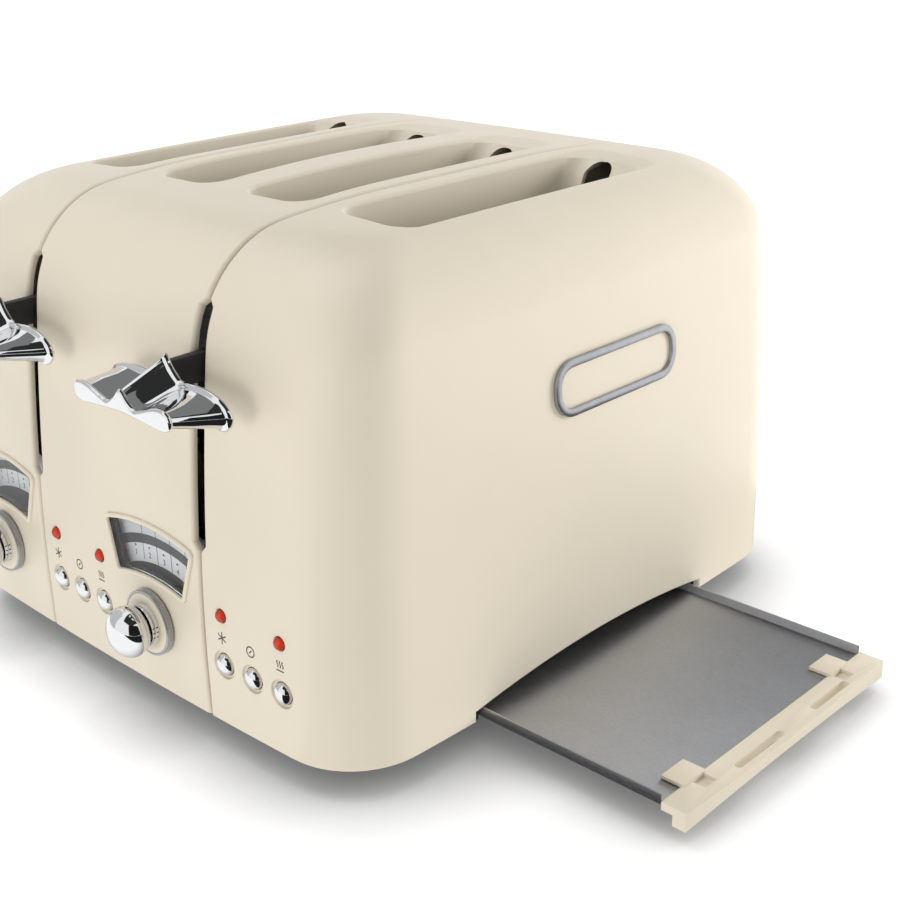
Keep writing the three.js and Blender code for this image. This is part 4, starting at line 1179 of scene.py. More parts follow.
    def seam_path(self, x: float) -> list[SurfacePoint]:
        """Surface points along the case's section at a seam, from the front foot to the rear foot."""
        raw = []
        lowest = self.shape.bottom + self.shape.bottom_roll + self.seam.clear
        for degrees in np.linspace(*SEAM_SWEEP, SEAM_CASTS):
            angle = math.radians(degrees)
            direction = (0, math.cos(angle), math.sin(angle))
            start = Vector((x, 0, SEAM_HUB_Z)) + Vector(direction) * FAR
            hit = self.probe.tree.ray_cast(start, -Vector(direction))
            if hit[0] is not None and hit[0].z > lowest:
                raw.append(self.probe.at(hit[0], hit[2]))
        raw.sort(key=lambda point: math.atan2(-point.place.y, point.place.z - SEAM_HUB_Z), reverse=True)
        return raw

    def half_width(self, point: Vector) -> float:
        """Half width of the seam at a place: wide where the lever runs."""
        seam = self.seam
        if point.y > 0:
            return seam.half_gap
        inside = min(point.z - seam.lever_low, seam.lever_high - point.z) / seam.lead + 1
        return seam.half_gap + (seam.lever_half - seam.half_gap) * max(0.0, min(1.0, inside))

    def seam_cut(self, x: float) -> Skin:
        """Groove along one seam, its edges rolled, that ends in the lever slot."""
        seam = self.seam
        path = self.seam_path(x)
        kept = [path[0]]
        marks = [seam.lever_low - seam.lead, seam.lever_low, seam.lever_high, seam.lever_high + seam.lead]
        for before, point in zip(path, path[1:]):
            crossed = point.place.y < 0 and any(before.place.z < mark <= point.place.z for mark in marks)
            if crossed or (point.place - kept[-1].place).length >= seam.spacing:
                kept.append(point)
        kept = [self.extended(kept[0]), *kept, self.extended(kept[-1])]
        rings = []
        for number, point in enumerate(kept):
            before = kept[max(number - 1, 0)].place
            after = kept[min(number + 1, len(kept) - 1)].place
            along = (after - before).normalized()
            across = along.cross(point.normal).normalized()
            out = across.cross(along).normalized()
            half = self.half_width(point.place)
            rings.append([point.place + across * u - out * d for u, d in self.groove(half)])
        return loft(rings)

    def extended(self, point: SurfacePoint) -> SurfacePoint:
        """A point straight below the given one, past the bottom edge."""
        place = point.place.copy()
        place.z = self.shape.bottom - self.seam.under
        return SurfacePoint(place, point.normal)

    def groove(self, half: float) -> list[Pair]:
        """Section of the seam's groove.

        Args:
            half: Half width of its straight part.

        Returns:
            Pairs of place across and depth.
        """
        seam = self.seam
        right = [(half, seam.depth)] + [(half + out, down) for down, out in rolled(seam.fillet, ROLL_ANGLES)]
        last = math.radians(ROLL_ANGLES[-1])
        edge = (right[-1][0] + FLARE_LENGTH * math.sin(last), right[-1][1] - FLARE_LENGTH * math.cos(last))
        right += [edge, (edge[0], -seam.proud)]
        return right + [(-u, d) for u, d in reversed(right)]

    def front_cuts(self, side: Side) -> list[Skin]:
        """Openings in the front of one module."""
        controls = self.controls
        cuts = [self.gauge_cut(side)]
        for number in range(len(controls.names)):
            cuts.append(self.recess_cut(controls.button_x(side, number)))
        for number in controls.lamps:
            x = controls.button_x(side, number)
            radius = controls.lamp_radius + controls.gap
            cuts.append(self.round_cut(x, controls.lamp_z, radius, LAMP_EDGE))
        cuts.append(self.round_cut(side.value - self.gauge.knob_offset, self.gauge.knob_z, KNOB_HOLE, 0.0))
        return cuts

    def gauge_cut(self, side: Side) -> Skin:
        """Opening of one gauge."""
        x = side.value - self.gauge.knob_offset
        ring = self.gauge.outline(x, self.gauge.gap)
        return loft([[(u, y, v) for u, v in ring] for y in GAUGE_CUT])

    def recess_cut(self, x: float) -> Skin:
        """Dished recess of a button with the hole in its middle."""
        controls = self.controls
        face = self.probe.front(x, controls.button_z)
        fillet, radius, depth = controls.recess_fillet, controls.recess_radius, controls.recess_depth
        hole, rim = controls.button_radius + controls.gap, radius + fillet + controls.recess_step
        profile = [(controls.hole_depth, 0.0), (controls.hole_depth, hole), (depth, hole),
                   (depth, radius - controls.recess_step), (depth - controls.recess_step, radius)]
        profile += [(down, radius + out) for down, out in rolled(fillet, controls.recess_angles)]
        profile += [(-controls.recess_proud, rim), (-controls.clear, rim), (-controls.clear, 0.0)]
        return turned(profile, face.place, -face.normal, RECESS_FACETS)

    def round_cut(self, x: float, z: float, radius: float, fillet: float) -> Skin:
        """Plain round hole in the front with an eased edge."""
        face = self.probe.front(x, z)
        controls = self.controls
        profile = [(controls.round_depth, 0.0), (controls.round_depth, radius),
                   (max(fillet, controls.round_proud), radius)]
        if fillet:
            profile += [(down, radius + out) for down, out in rolled(fillet, controls.round_angles)]
            profile.append((-controls.round_proud, radius + fillet))
        profile += [(-controls.clear, profile[-1][1]), (-controls.clear, 0.0)]
        return turned(profile, face.place, (0, 1, 0) if not fillet else -face.normal, FACETS)

    def arch_cut(self) -> Skin:
        """Opening in the right-hand wall that the tray passes under, with a rolled outer edge."""
        arch = self.arch
        base = []
        for i in range(arch.steps + 1):
            share = 1 - 2 * i / arch.steps
            base.append((arch.y + arch.half * share, arch.top_z - (arch.top_z - arch.end_z) * share ** 2))
        rings = []
        steps = [(arch.cut, 0.0), (arch.fillet, 0.0), *rolled(arch.fillet, arch.angles),
                 (-arch.proud, arch.fillet + arch.rim), (-arch.clear, arch.fillet + arch.rim)]
        for depth, grow in steps:
            ring = []
            for y, z in base:
                wide = arch.y + (y - arch.y) * (1 + grow / arch.half)
                high = z + grow
                ring.append((self.probe.right(wide, max(high, arch.lowest)).place.x - depth, wide, high))
            low = self.shape.bottom - arch.under
            ring = [(ring[0][0], ring[0][1], low)] + ring + [(ring[-1][0], ring[-1][1], low)]
            rings.append(ring)
        return loft(rings)

    def inlet_cut(self) -> Skin:
        """Hole for the cord's inlet at the rear."""
        profile = [(0.0, 0.0), (0.0, INLET_RADIUS), (INLET_LENGTH, INLET_RADIUS), (INLET_LENGTH, 0.0)]
        return turned(profile, (INLET_X, INLET_FROM, INLET_Z), (0, 1, 0), FACETS)

    def true_normals(self, section: Piece) -> None:
        """Gives the outer surface of a section the eased normals of the uncut case.

        Args:
            section: One section of the case.
        """
        mesh = section.data
        near: dict[int, Vector] = {}
        for vertex in mesh.vertices:
            found = self.probe.nearest(self.shop.placement.millimetres(vertex.co), SKIN_REACH)
            if found is not None and vertex.co.z > (self.shape.bottom + self.shape.bottom_roll) * MM:
                near[vertex.index] = found.normal
        wanted = [Vector((0.0, 0.0, 0.0))] * len(mesh.loops)
        for face in mesh.polygons:
            for loop, vertex in zip(face.loop_indices, face.vertices):
                normal = near.get(vertex)
                if normal is not None and face.normal.angle(normal, math.pi) < SKIN_ANGLE:
                    wanted[loop] = normal
        mesh.normals_split_custom_set(wanted)


# ---------------------------------------------------------------- materials


class Kind(Enum):
    """How a finish is put together."""

    PAINT = "paint"
    METAL = "metal"
    BRUSHED = "brushed"
    MOULDED = "moulded"
    MICA = "mica"
    BOARD = "board"
    COIL = "coil"
    GLASS = "glass"
    LENS = "lens"
    DIAL = "dial"


@dataclass(frozen=True)
class Finish:
    """Look of one material: its colour, gloss and fine structure (lengths in metres)."""

    name: str
    kind: Kind
    colour: Triple
    roughness: float
    metallic: float = 0.0
    grain: float = 0.0008
    relief: float = 0.05
    mottle: float = 0.02
    patch: float = 0.03
    coat: float = 0.0
    stretch: Triple = (1.0, 1.0, 1.0)
    centre: Triple = (0.0, 0.0, 0.0)


@dataclass
class NodeBench:
    """Adds nodes to a shader tree and joins them up."""

    tree: Tree

    @classmethod
    def blank(cls, owner: bpy.types.Material | bpy.types.World) -> NodeBench:
        """A bench on the emptied tree of a material or a world."""
        owner.use_nodes = True
        owner.node_tree.nodes.clear()
        return cls(owner.node_tree)

    def add(self, kind: str, inputs: dict[str | int, object] | None = None, **settings: object) -> Node:
        """Adds one node.

        Args:
            kind: Its Blender type.
            inputs: Values for its sockets, or sockets to join to them.
            **settings: Properties of the node.

        Returns:
            The node.
        """
        node = self.tree.nodes.new(kind)
        for name, value in settings.items():
            setattr(node, name, value)
        for name, value in (inputs or {}).items():
            if isinstance(value, Socket):
                self.tree.links.new(value, node.inputs[name])
            else:
                node.inputs[name].default_value = value
        return node

    def calc(self, first: object, second: object, operation: str = "ADD") -> Socket:
        """Result of one arithmetic step."""
        return self.add("ShaderNodeMath", {0: first, 1: second}, operation=operation).outputs[0]

    def vector(self, x: object = 0.0, y: object = 0.0, z: object = 0.0) -> Socket:
        """A vector from three values."""
        return self.add("ShaderNodeCombineXYZ", {0: x, 1: y, 2: z}).outputs[0]

    def blend(self, share: object, low: object, high: object, mode: str = "MIX") -> Socket:
        """Mixes two colours.

        Args:
            share: Share of the second colour.
            low: First colour.
            high: Second colour.
            mode: How they are mixed.

        Returns:
            The mixed colour's socket.
        """
        return self.add("ShaderNodeMix", {0: share, 6: low, 7: high}, data_type="RGBA", blend_type=mode).outputs[2]

    def ramp(self, value: Socket, stops: Sequence[Pair]) -> Socket:
        """Maps a value to greys.

        Args:
            value: The value's socket.
            stops: Pairs of place and grey.

        Returns:
            The socket of the mapped colour.
        """
        node = self.add("ShaderNodeValToRGB", {"Fac": value})
        band = node.color_ramp
        while len(band.elements) < len(stops):
            band.elements.new(0.5)
        for element, (place, grey) in zip(band.elements, stops):
            element.position = place
            element.color = (grey, grey, grey, 1.0)
        return node.outputs["Color"]


class GroupStore:
    """Shader node groups that several materials share; each gives out colours, masks, values or normals only."""

    def __init__(self) -> None:
        """Starts with no groups made."""
        self.made: dict[str, Tree] = {}

    def get(self, name: str) -> Tree:
        """A shared group, made on first use.

        Args:
            name: grain, mottle, brushed or dust.

        Returns:
            The group's tree.
        """
        if name not in self.made:
            tree = bpy.data.node_groups.new(name, "ShaderNodeTree")
            makers: dict[str, Callable[[Tree], None]] = {
                "grain": self._grain, "mottle": self._mottle, "brushed": self._brushed, "dust": self._dust}
            makers[name](tree)
            self.made[name] = tree
        return self.made[name]

    @staticmethod
    def _sockets(tree: Tree, inputs: Sequence[tuple[str, str]],
                 outputs: Sequence[tuple[str, str]]) -> tuple[NodeBench, Node, Node]:
        """Gives a group its sockets and its two end nodes."""
        for name, kind in inputs:
            tree.interface.new_socket(name, in_out="INPUT", socket_type=kind)
        for name, kind in outputs:
            tree.interface.new_socket(name, in_out="OUTPUT", socket_type=kind)
        bench = NodeBench(tree)
        return bench, bench.add("NodeGroupInput"), bench.add("NodeGroupOutput")

    def _grain(self, tree: Tree) -> None:
        """Fine relief of a painted or moulded skin, with a slower wave under it."""
        bench, start, end = self._sockets(
            tree, [("Place", "NodeSocketVector"), ("Scale", "NodeSocketFloat"), ("Strength", "NodeSocketFloat")],
            [("Normal", "NodeSocketVector")])
        fine = bench.add("ShaderNodeTexNoise", {"Vector": start.outputs["Place"], "Scale": start.outputs["Scale"],
                                                "Detail": 2.0})
        slow = bench.calc(start.outputs["Scale"], 0.12, "MULTIPLY")
        wave = bench.add("ShaderNodeTexNoise", {"Vector": start.outputs["Place"], "Scale": slow, "Detail": 1.0})
        both = bench.calc(fine.outputs[0], wave.outputs[0])
        bump = bench.add("ShaderNodeBump", {"Strength": start.outputs["Strength"], "Distance": 0.0004,
                                            "Height": both})
        tree.links.new(bump.outputs[0], end.inputs["Normal"])

    def _mottle(self, tree: Tree) -> None:
        """Slight patchiness of a colour, coarse and fine."""
        bench, start, end = self._sockets(
            tree, [("Place", "NodeSocketVector"), ("Colour", "NodeSocketColor"), ("Scale", "NodeSocketFloat"),
                   ("Amount", "NodeSocketFloat")], [("Colour", "NodeSocketColor")])
        cloud = bench.add("ShaderNodeTexNoise", {"Vector": start.outputs["Place"], "Scale": start.outputs["Scale"],
                                                 "Detail": 5.0, "Roughness": 0.6})
        shade = bench.add("ShaderNodeMapRange", {"Value": cloud.outputs[0], "From Min": 0.3, "From Max": 0.7,
                                                 "To Min": -1.0, "To Max": 1.0})
        part = bench.add("ShaderNodeMath", {0: shade.outputs[0], 1: start.outputs["Amount"]},
                         operation="MULTIPLY_ADD")
        part.inputs[2].default_value = 1.0
        result = bench.blend(1.0, start.outputs["Colour"], part.outputs[0], "MULTIPLY")
        tree.links.new(result, end.inputs["Colour"])

    def _brushed(self, tree: Tree) -> None:
        """Long fine scratches of brushed sheet, with the place already stretched along them."""
        bench, start, end = self._sockets(
            tree, [("Place", "NodeSocketVector"), ("Scale", "NodeSocketFloat"), ("Strength", "NodeSocketFloat")],
            [("Mask", "NodeSocketFloat"), ("Normal", "NodeSocketVector")])
        lines = bench.add("ShaderNodeTexNoise", {"Vector": start.outputs["Place"], "Scale": start.outputs["Scale"],
                                                 "Detail": 4.0, "Roughness": 0.65})
        spread = bench.add("ShaderNodeMapRange", {"Value": lines.outputs[0], "From Min": 0.32, "From Max": 0.68})
        bump = bench.add("ShaderNodeBump", {"Strength": start.outputs["Strength"], "Distance": 0.0002,
                                            "Height": lines.outputs[0]})
        tree.links.new(spread.outputs[0], end.inputs["Mask"])
        tree.links.new(bump.outputs[0], end.inputs["Normal"])

    def _dust(self, tree: Tree) -> None:
        """Mask of settled dust and small specks on faces that look up."""
        bench, start, end = self._sockets(
            tree, [("Place", "NodeSocketVector"), ("Scale", "NodeSocketFloat")], [("Mask", "NodeSocketFloat")])
        facing = bench.add("ShaderNodeNewGeometry")
        axes = bench.add("ShaderNodeSeparateXYZ", {"Vector": facing.outputs["Normal"]})
        up = bench.add("ShaderNodeMapRange", {"Value": axes.outputs["Z"], "From Min": 0.2, "From Max": 1.0})
        specks = bench.add("ShaderNodeTexNoise", {"Vector": start.outputs["Place"],
                                                  "Scale": start.outputs["Scale"], "Detail": 6.0})
        patch = bench.add("ShaderNodeMapRange", {"Value": specks.outputs[0], "From Min": 0.45, "From Max": 0.75})
        tree.links.new(bench.calc(up.outputs[0], patch.outputs[0], "MULTIPLY"), end.inputs["Mask"])


@dataclass(frozen=True)
class Mix:
    """What every finish starts from: its tree, its shader and the outputs of the shared groups."""

    bench: NodeBench
    shader: Node
    finish: Finish
    place: Socket
    stretched: Socket
    mottle: Socket
    grain: Socket
    dust: Socket

    def join(self, name: str, value: Socket) -> None:
        """Joins a value to one of the shader's inputs."""
        self.bench.tree.links.new(value, self.shader.inputs[name])


class MaterialShop:
    """Makes each finish once, from the shared groups."""

    def __init__(self) -> None:
        """Starts with no materials made."""
        self.groups = GroupStore()
        self.made: dict[str, bpy.types.Material] = {}

    def get(self, finish: Finish) -> bpy.types.Material:
        """The material of a finish.

        Args:
            finish: What it looks like.

        Returns:
            The material, made on first use.
        """
        if finish.name not in self.made:
            self.made[finish.name] = self._make(finish)
        return self.made[finish.name]

    def dress(self, piece: Piece, finish: Finish) -> None:
        """Gives a piece one finish all over.

        Args:
            piece: The piece.
            finish: Its finish.
        """
        piece.data.materials.clear()
        piece.data.materials.append(self.get(finish))

    def _group(self, bench: NodeBench, name: str, inputs: dict[str | int, object]) -> Node:
        """Adds a shared group to a material."""
        return bench.add("ShaderNodeGroup", inputs, node_tree=self.groups.get(name))

    def _make(self, finish: Finish) -> bpy.types.Material:
        """Builds a material's tree."""
        material = bpy.data.materials.new(finish.name)
        bench = NodeBench.blank(material)
        shader = bench.add("ShaderNodeBsdfPrincipled")
        bench.add("ShaderNodeOutputMaterial", {"Surface": shader.outputs[0]})
        place = bench.add("ShaderNodeTexCoord").outputs["Object"]
        stretched = bench.add("ShaderNodeMapping", {"Vector": place, "Scale": finish.stretch}).outputs[0]
        shader.inputs["Metallic"].default_value = finish.metallic
        shader.inputs["Coat Weight"].default_value = finish.coat
        shader.inputs["Coat Roughness"].default_value = 0.08
        base = (*finish.colour, 1.0)
        mottle = self._group(bench, "mottle", {"Place": place, "Colour": base, "Scale": 1 / finish.patch,
                                               "Amount": finish.mottle}).outputs["Colour"]
        grain = self._group(bench, "grain", {"Place": stretched, "Scale": 1 / finish.grain,
                                             "Strength": finish.relief}).outputs["Normal"]
        dust = self._group(bench, "dust", {"Place": place, "Scale": 90.0}).outputs["Mask"]
        makers: dict[Kind, Callable[[Mix], None]] = {
            Kind.PAINT: self._paint, Kind.MOULDED: self._moulded, Kind.METAL: self._metal,
            Kind.BRUSHED: self._brushed, Kind.MICA: self._mica, Kind.BOARD: self._board, Kind.COIL: self._coil,
            Kind.GLASS: self._glass, Kind.LENS: self._lens, Kind.DIAL: self._dial}
        makers[finish.kind](Mix(bench, shader, finish, place, stretched, mottle, grain, dust))
        return material

    @staticmethod
    def _rough(mix: Mix, mask: Socket, low: float, high: float) -> None:
        """Drives the roughness between two values by a mask."""
        span = mix.bench.add("ShaderNodeMapRange", {"Value": mask, "To Min": low, "To Max": high})
        mix.join("Roughness", span.outputs[0])

    def _paint(self, mix: Mix) -> None:
        """Satin powder paint: slight orange peel, a little dust on what looks up."""
        soft = mix.bench.calc(mix.dust, 0.05, "MULTIPLY")
        colour = mix.bench.blend(soft, mix.mottle, (0.83, 0.81, 0.77, 1.0))
        mix.join("Base Color", colour)
        self._rough(mix, mix.dust, mix.finish.roughness, mix.finish.roughness + 0.08)
        mix.join("Normal", mix.grain)

    def _moulded(self, mix: Mix) -> None:
        """Moulded plastic or rubber: fine spark-eroded grain and light handling marks."""
        marks = mix.bench.add("ShaderNodeTexNoise", {"Vector": mix.place, "Scale": 130.0, "Detail": 6.0})
        mix.join("Base Color", mix.mottle)
        self._rough(mix, marks.outputs[0], mix.finish.roughness - 0.08, mix.finish.roughness + 0.1)
        mix.join("Normal", mix.grain)

    def _metal(self, mix: Mix) -> None:
        """Plated metal: almost a mirror, with faint smears and a barely uneven plate."""
        smear = mix.bench.add("ShaderNodeTexNoise", {"Vector": mix.place, "Scale": 160.0, "Detail": 5.0,
                                                 "Roughness": 0.7})
        mix.join("Base Color", mix.mottle)
        self._rough(mix, smear.outputs[0], mix.finish.roughness * 0.6, mix.finish.roughness * 1.6)
        mix.join("Normal", mix.grain)

    def _brushed(self, mix: Mix) -> None:
        """Brushed sheet: long scratches that change both the gloss and the colour a little."""
        lines = self._group(mix.bench, "brushed", {"Place": mix.stretched, "Scale": 1 / mix.finish.grain,
                                               "Strength": mix.finish.relief})
        darker = mix.bench.blend(1.0, mix.mottle, (0.82, 0.82, 0.83, 1.0), "MULTIPLY")
        colour = mix.bench.blend(lines.outputs["Mask"], darker, mix.mottle)
        mix.join("Base Color", colour)
        self._rough(mix, lines.outputs["Mask"], mix.finish.roughness - 0.07, mix.finish.roughness + 0.1)
        mix.join("Normal", lines.outputs["Normal"])

    def _mica(self, mix: Mix) -> None:
        """Pressed mica: pale flakes with darker ones among them."""
        flakes = mix.bench.add("ShaderNodeTexVoronoi", {"Vector": mix.place, "Scale": 380.0, "Randomness": 1.0})
        tone = mix.bench.ramp(flakes.outputs["Color"], ((0.0, 0.72), (0.6, 1.0), (1.0, 1.12)))
        colour = mix.bench.blend(1.0, mix.mottle, tone, "MULTIPLY")
        mix.join("Base Color", colour)
        self._rough(mix, flakes.outputs["Distance"], mix.finish.roughness - 0.12, mix.finish.roughness + 0.12)
        mix.join("Normal", mix.grain)

    def _board(self, mix: Mix) -> None:
        """Circuit board: lacquer over a pattern of tracks, with a weave under it."""
        tracks = mix.bench.add("ShaderNodeTexBrick", {"Vector": mix.stretched, "Scale": 60.0, "Mortar Size": 0.06,
                                                  "Color1": (0.55, 0.55, 0.55, 1.0),
                                                  "Color2": (0.8, 0.8, 0.8, 1.0),
                                                  "Mortar": (1.5, 1.5, 1.3, 1.0)})
        colour = mix.bench.blend(1.0, mix.mottle, tracks.outputs["Color"], "MULTIPLY")
        mix.join("Base Color", colour)
        self._rough(mix, tracks.outputs["Fac"], mix.finish.roughness, mix.finish.roughness - 0.1)
        mix.join("Normal", mix.grain)

    def _coil(self, mix: Mix) -> None:
        """Windings of lacquered wire round a core."""
        turns = mix.bench.add("ShaderNodeTexWave", {"Vector": mix.place, "Scale": 520.0, "Distortion": 0.4},
                          bands_direction="Z")
        tone = mix.bench.ramp(turns.outputs["Color"], ((0.0, 0.35), (0.5, 1.0), (1.0, 0.6)))
        colour = mix.bench.blend(1.0, mix.mottle, tone, "MULTIPLY")
        mix.join("Base Color", colour)
        bump = mix.bench.add("ShaderNodeBump", {"Strength": 0.6, "Distance": 0.0003, "Height": turns.outputs["Color"],
                                            "Normal": mix.grain})
        mix.join("Normal", bump.outputs[0])
        self._rough(mix, turns.outputs["Color"], mix.finish.roughness + 0.1, mix.finish.roughness - 0.1)

    def _glass(self, mix: Mix) -> None:
        """Clear moulded window with a trace of haze."""
        haze = mix.bench.add("ShaderNodeTexNoise", {"Vector": mix.place, "Scale": 70.0, "Detail": 4.0})
        mix.join("Base Color", mix.mottle)
        mix.shader.inputs["Transmission Weight"].default_value = 1.0
        mix.shader.inputs["IOR"].default_value = WINDOW_IOR
        self._rough(mix, haze.outputs[0], 0.0, mix.finish.roughness)

    def _lens(self, mix: Mix) -> None:
        """Tinted lamp cap with painted shade: its colour darkens towards the dome's rim as the face turns from the
        view.
        """
        rim = mix.bench.add("ShaderNodeLayerWeight", {"Blend": 0.5}).outputs["Facing"]
        # painted shade: the cap's red is blended darker towards the rim of the dome
        painted_rim_shade = mix.bench.blend(1.0, mix.mottle, (0.22, 0.03, 0.03, 1.0), "MULTIPLY")
        colour = mix.bench.blend(rim, mix.mottle, painted_rim_shade)
        mix.join("Base Color", colour)
        self._rough(mix, rim, mix.finish.roughness, mix.finish.roughness + 0.1)
        mix.join("Normal", mix.grain)

    def _dial(self, mix: Mix) -> None:
        """Printed dial: dark and light bands about a point low on the dial."""
        centre = mix.bench.add("ShaderNodeVectorMath", {0: mix.place, 1: mix.finish.centre}, operation="SUBTRACT")
        flat = mix.bench.add("ShaderNodeVectorMath", {0: centre.outputs[0], 1: (1.0, 0.0, 1.0)},
                             operation="MULTIPLY")
        reach = mix.bench.add("ShaderNodeVectorMath", {0: flat.outputs[0]}, operation="LENGTH")
        share = mix.bench.calc(reach.outputs["Value"], DIAL_SPAN, "DIVIDE")
        bands = mix.bench.ramp(share, [(edge * MM / DIAL_SPAN, tone) for edge, tone in DIAL_BANDS])
        bands.node.color_ramp.interpolation = "CONSTANT"
        colour = mix.bench.blend(1.0, mix.mottle, bands, "MULTIPLY")
        mix.join("Base Color", colour)
        self._rough(mix, bands, mix.finish.roughness, mix.finish.roughness - 0.1)
        mix.join("Normal", mix.grain)


CASE_PAINT = Finish("case_paint", Kind.PAINT, (0.735, 0.665, 0.54), 0.36, grain=0.0007, relief=0.035,
                    mottle=0.012, patch=0.05)
CREAM_PLASTIC = Finish("cream_plastic", Kind.MOULDED, (0.745, 0.675, 0.545), 0.4, grain=0.0005, relief=0.04,
                       mottle=0.015, patch=0.02)
CHROME = Finish("chrome", Kind.METAL, (0.79, 0.8, 0.81), 0.045, metallic=1.0, grain=0.006, relief=0.012,
                mottle=0.015, patch=0.01)
STEEL = Finish("sheet_steel", Kind.BRUSHED, (0.52, 0.52, 0.51), 0.33, metallic=1.0, grain=0.0009, relief=0.09,
               mottle=0.04, patch=0.02, stretch=(0.04, 1.0, 1.0))
BLACK_STEEL = Finish("black_steel", Kind.MOULDED, (0.018, 0.018, 0.019), 0.42, metallic=0.3, grain=0.0006,
                     relief=0.06, mottle=0.1, patch=0.01)
BLACK_PLASTIC = Finish("black_plastic", Kind.MOULDED, (0.022, 0.021, 0.021), 0.5, grain=0.0006, relief=0.09,
                       mottle=0.12, patch=0.02)
MICA = Finish("mica", Kind.MICA, (0.46, 0.4, 0.3), 0.55, grain=0.002, relief=0.15, mottle=0.08, patch=0.015)
COIL = Finish("coil", Kind.COIL, (0.42, 0.17, 0.07), 0.4, metallic=0.6, grain=0.001, relief=0.05)
BOARD = Finish("circuit_board", Kind.BOARD, (0.06, 0.14, 0.06), 0.42, grain=0.0006, relief=0.08,
               stretch=(1.0, 0.2, 1.0))
DIAL = Finish("dial_print", Kind.DIAL, (0.9, 0.91, 0.93), 0.5, grain=0.0004, relief=0.03, mottle=0.03)
WINDOW = Finish("clear_window", Kind.GLASS, (0.97, 0.98, 0.98), 0.03, mottle=0.01, patch=0.02)
RED_LENS = Finish("red_plastic", Kind.LENS, (0.7, 0.045, 0.014), 0.08, grain=0.001, relief=0.02, mottle=0.05,
                  patch=0.004)
RUBBER = Finish("foot_rubber", Kind.MOULDED, (0.03, 0.03, 0.03), 0.7, grain=0.0005, relief=0.18, mottle=0.15,
                patch=0.008)
TRAY_STEEL = Finish("tray_steel", Kind.BRUSHED, (0.61, 0.62, 0.64), 0.44, metallic=1.0, grain=0.0005, relief=0.02,
                    mottle=0.03, patch=0.02, stretch=(0.25, 1.0, 1.0))
SATIN_METAL = Finish("satin_metal", Kind.BRUSHED, (0.5, 0.515, 0.54), 0.36, metallic=1.0, grain=0.0006,
                     relief=0.12, mottle=0.08, patch=0.004)
NEEDLE_RED = Finish("needle_red", Kind.MOULDED, (0.62, 0.03, 0.02), 0.35, grain=0.0004, relief=0.03, mottle=0.05)
PRINT = Finish("dark_print", Kind.MOULDED, (0.045, 0.04, 0.036), 0.5, grain=0.0004, relief=0.02, mottle=0.1,
               patch=0.004)
SLOT_FINISHES = {finish.name: finish for finish in (
    CASE_PAINT, CREAM_PLASTIC, CHROME, STEEL, BLACK_STEEL, BLACK_PLASTIC, MICA, COIL, BOARD, DIAL, WINDOW, RED_LENS,
    RUBBER)}


# ---------------------------------------------------------------- pieces on the case


@dataclass(frozen=True)
class HandleEnd:
    """Outline of one end of a lever handle: half width, rise over the stem, height and its shares of both."""

    half: float
    rise: float
    height: float
    shares: tuple[Pair, ...]

    def outline(self, stem_z: float, pieces: int) -> np.ndarray:
        """Smooth closed outline.

        Args:
            stem_z: Height of the stem.
            pieces: Pieces between neighbouring points.

        Returns:
            Array of x and z.
        """
        bottom = stem_z + self.rise - self.height
        right = [(u * self.half, bottom + v * self.height) for u, v in self.shares]
        left = [(-u, v) for u, v in reversed(right[1:-1])]
        return catmull_rom(right + left, pieces)


@dataclass(frozen=True)
class HandleSize:
    """Lever handle in millimetres: a winged bar whose outline changes from its rear to its front end."""

    stem_z: float = 159.0
    gap: float = 12.0
    depth: float = 22.5
    pieces: int = 5
    bend_share: float = 0.75
    least_bend: float = 1e-3
    rear: HandleEnd = HandleEnd(37.0, 9.0, 23.2, (
        (0, 1), (0.11, 0.79), (0.23, 0.63), (0.36, 0.62), (0.5, 0.63), (0.65, 0.62), (0.79, 0.57), (0.9, 0.49),
        (0.97, 0.38), (1, 0.25), (0.96, 0.1), (0.85, 0), (0.6, 0.08), (0.3, 0.16), (0, 0.2)))
    front: HandleEnd = HandleEnd(29.0, 0.2, 9.6, (
        (0, 1), (0.13, 0.66), (0.28, 0.39), (0.4, 0.47), (0.52, 0.6), (0.66, 0.75), (0.8, 0.83), (0.9, 0.8),
        (0.97, 0.66), (1, 0.42), (0.97, 0.16), (0.86, 0), (0.6, 0.03), (0.3, 0.1), (0, 0.15)))
    sections: tuple[Pair, ...] = (
        (0.0, 1.3), (0.05, 0.75), (0.35, 0.3), (0.8, 0.05), (1.3, 0.0), (1.8, 0.08), (2.2, 0.35), (2.45, 0.8),
        (2.7, 1.15), (3.3, 1.3), (8.0, 1.3), (13.5, 1.3), (20.0, 1.3), (20.5, 1.15), (20.8, 0.8), (21.0, 0.3),
        (21.35, 0.03), (21.8, 0.03), (22.2, 0.3), (22.4, 0.75), (22.5, 1.3))


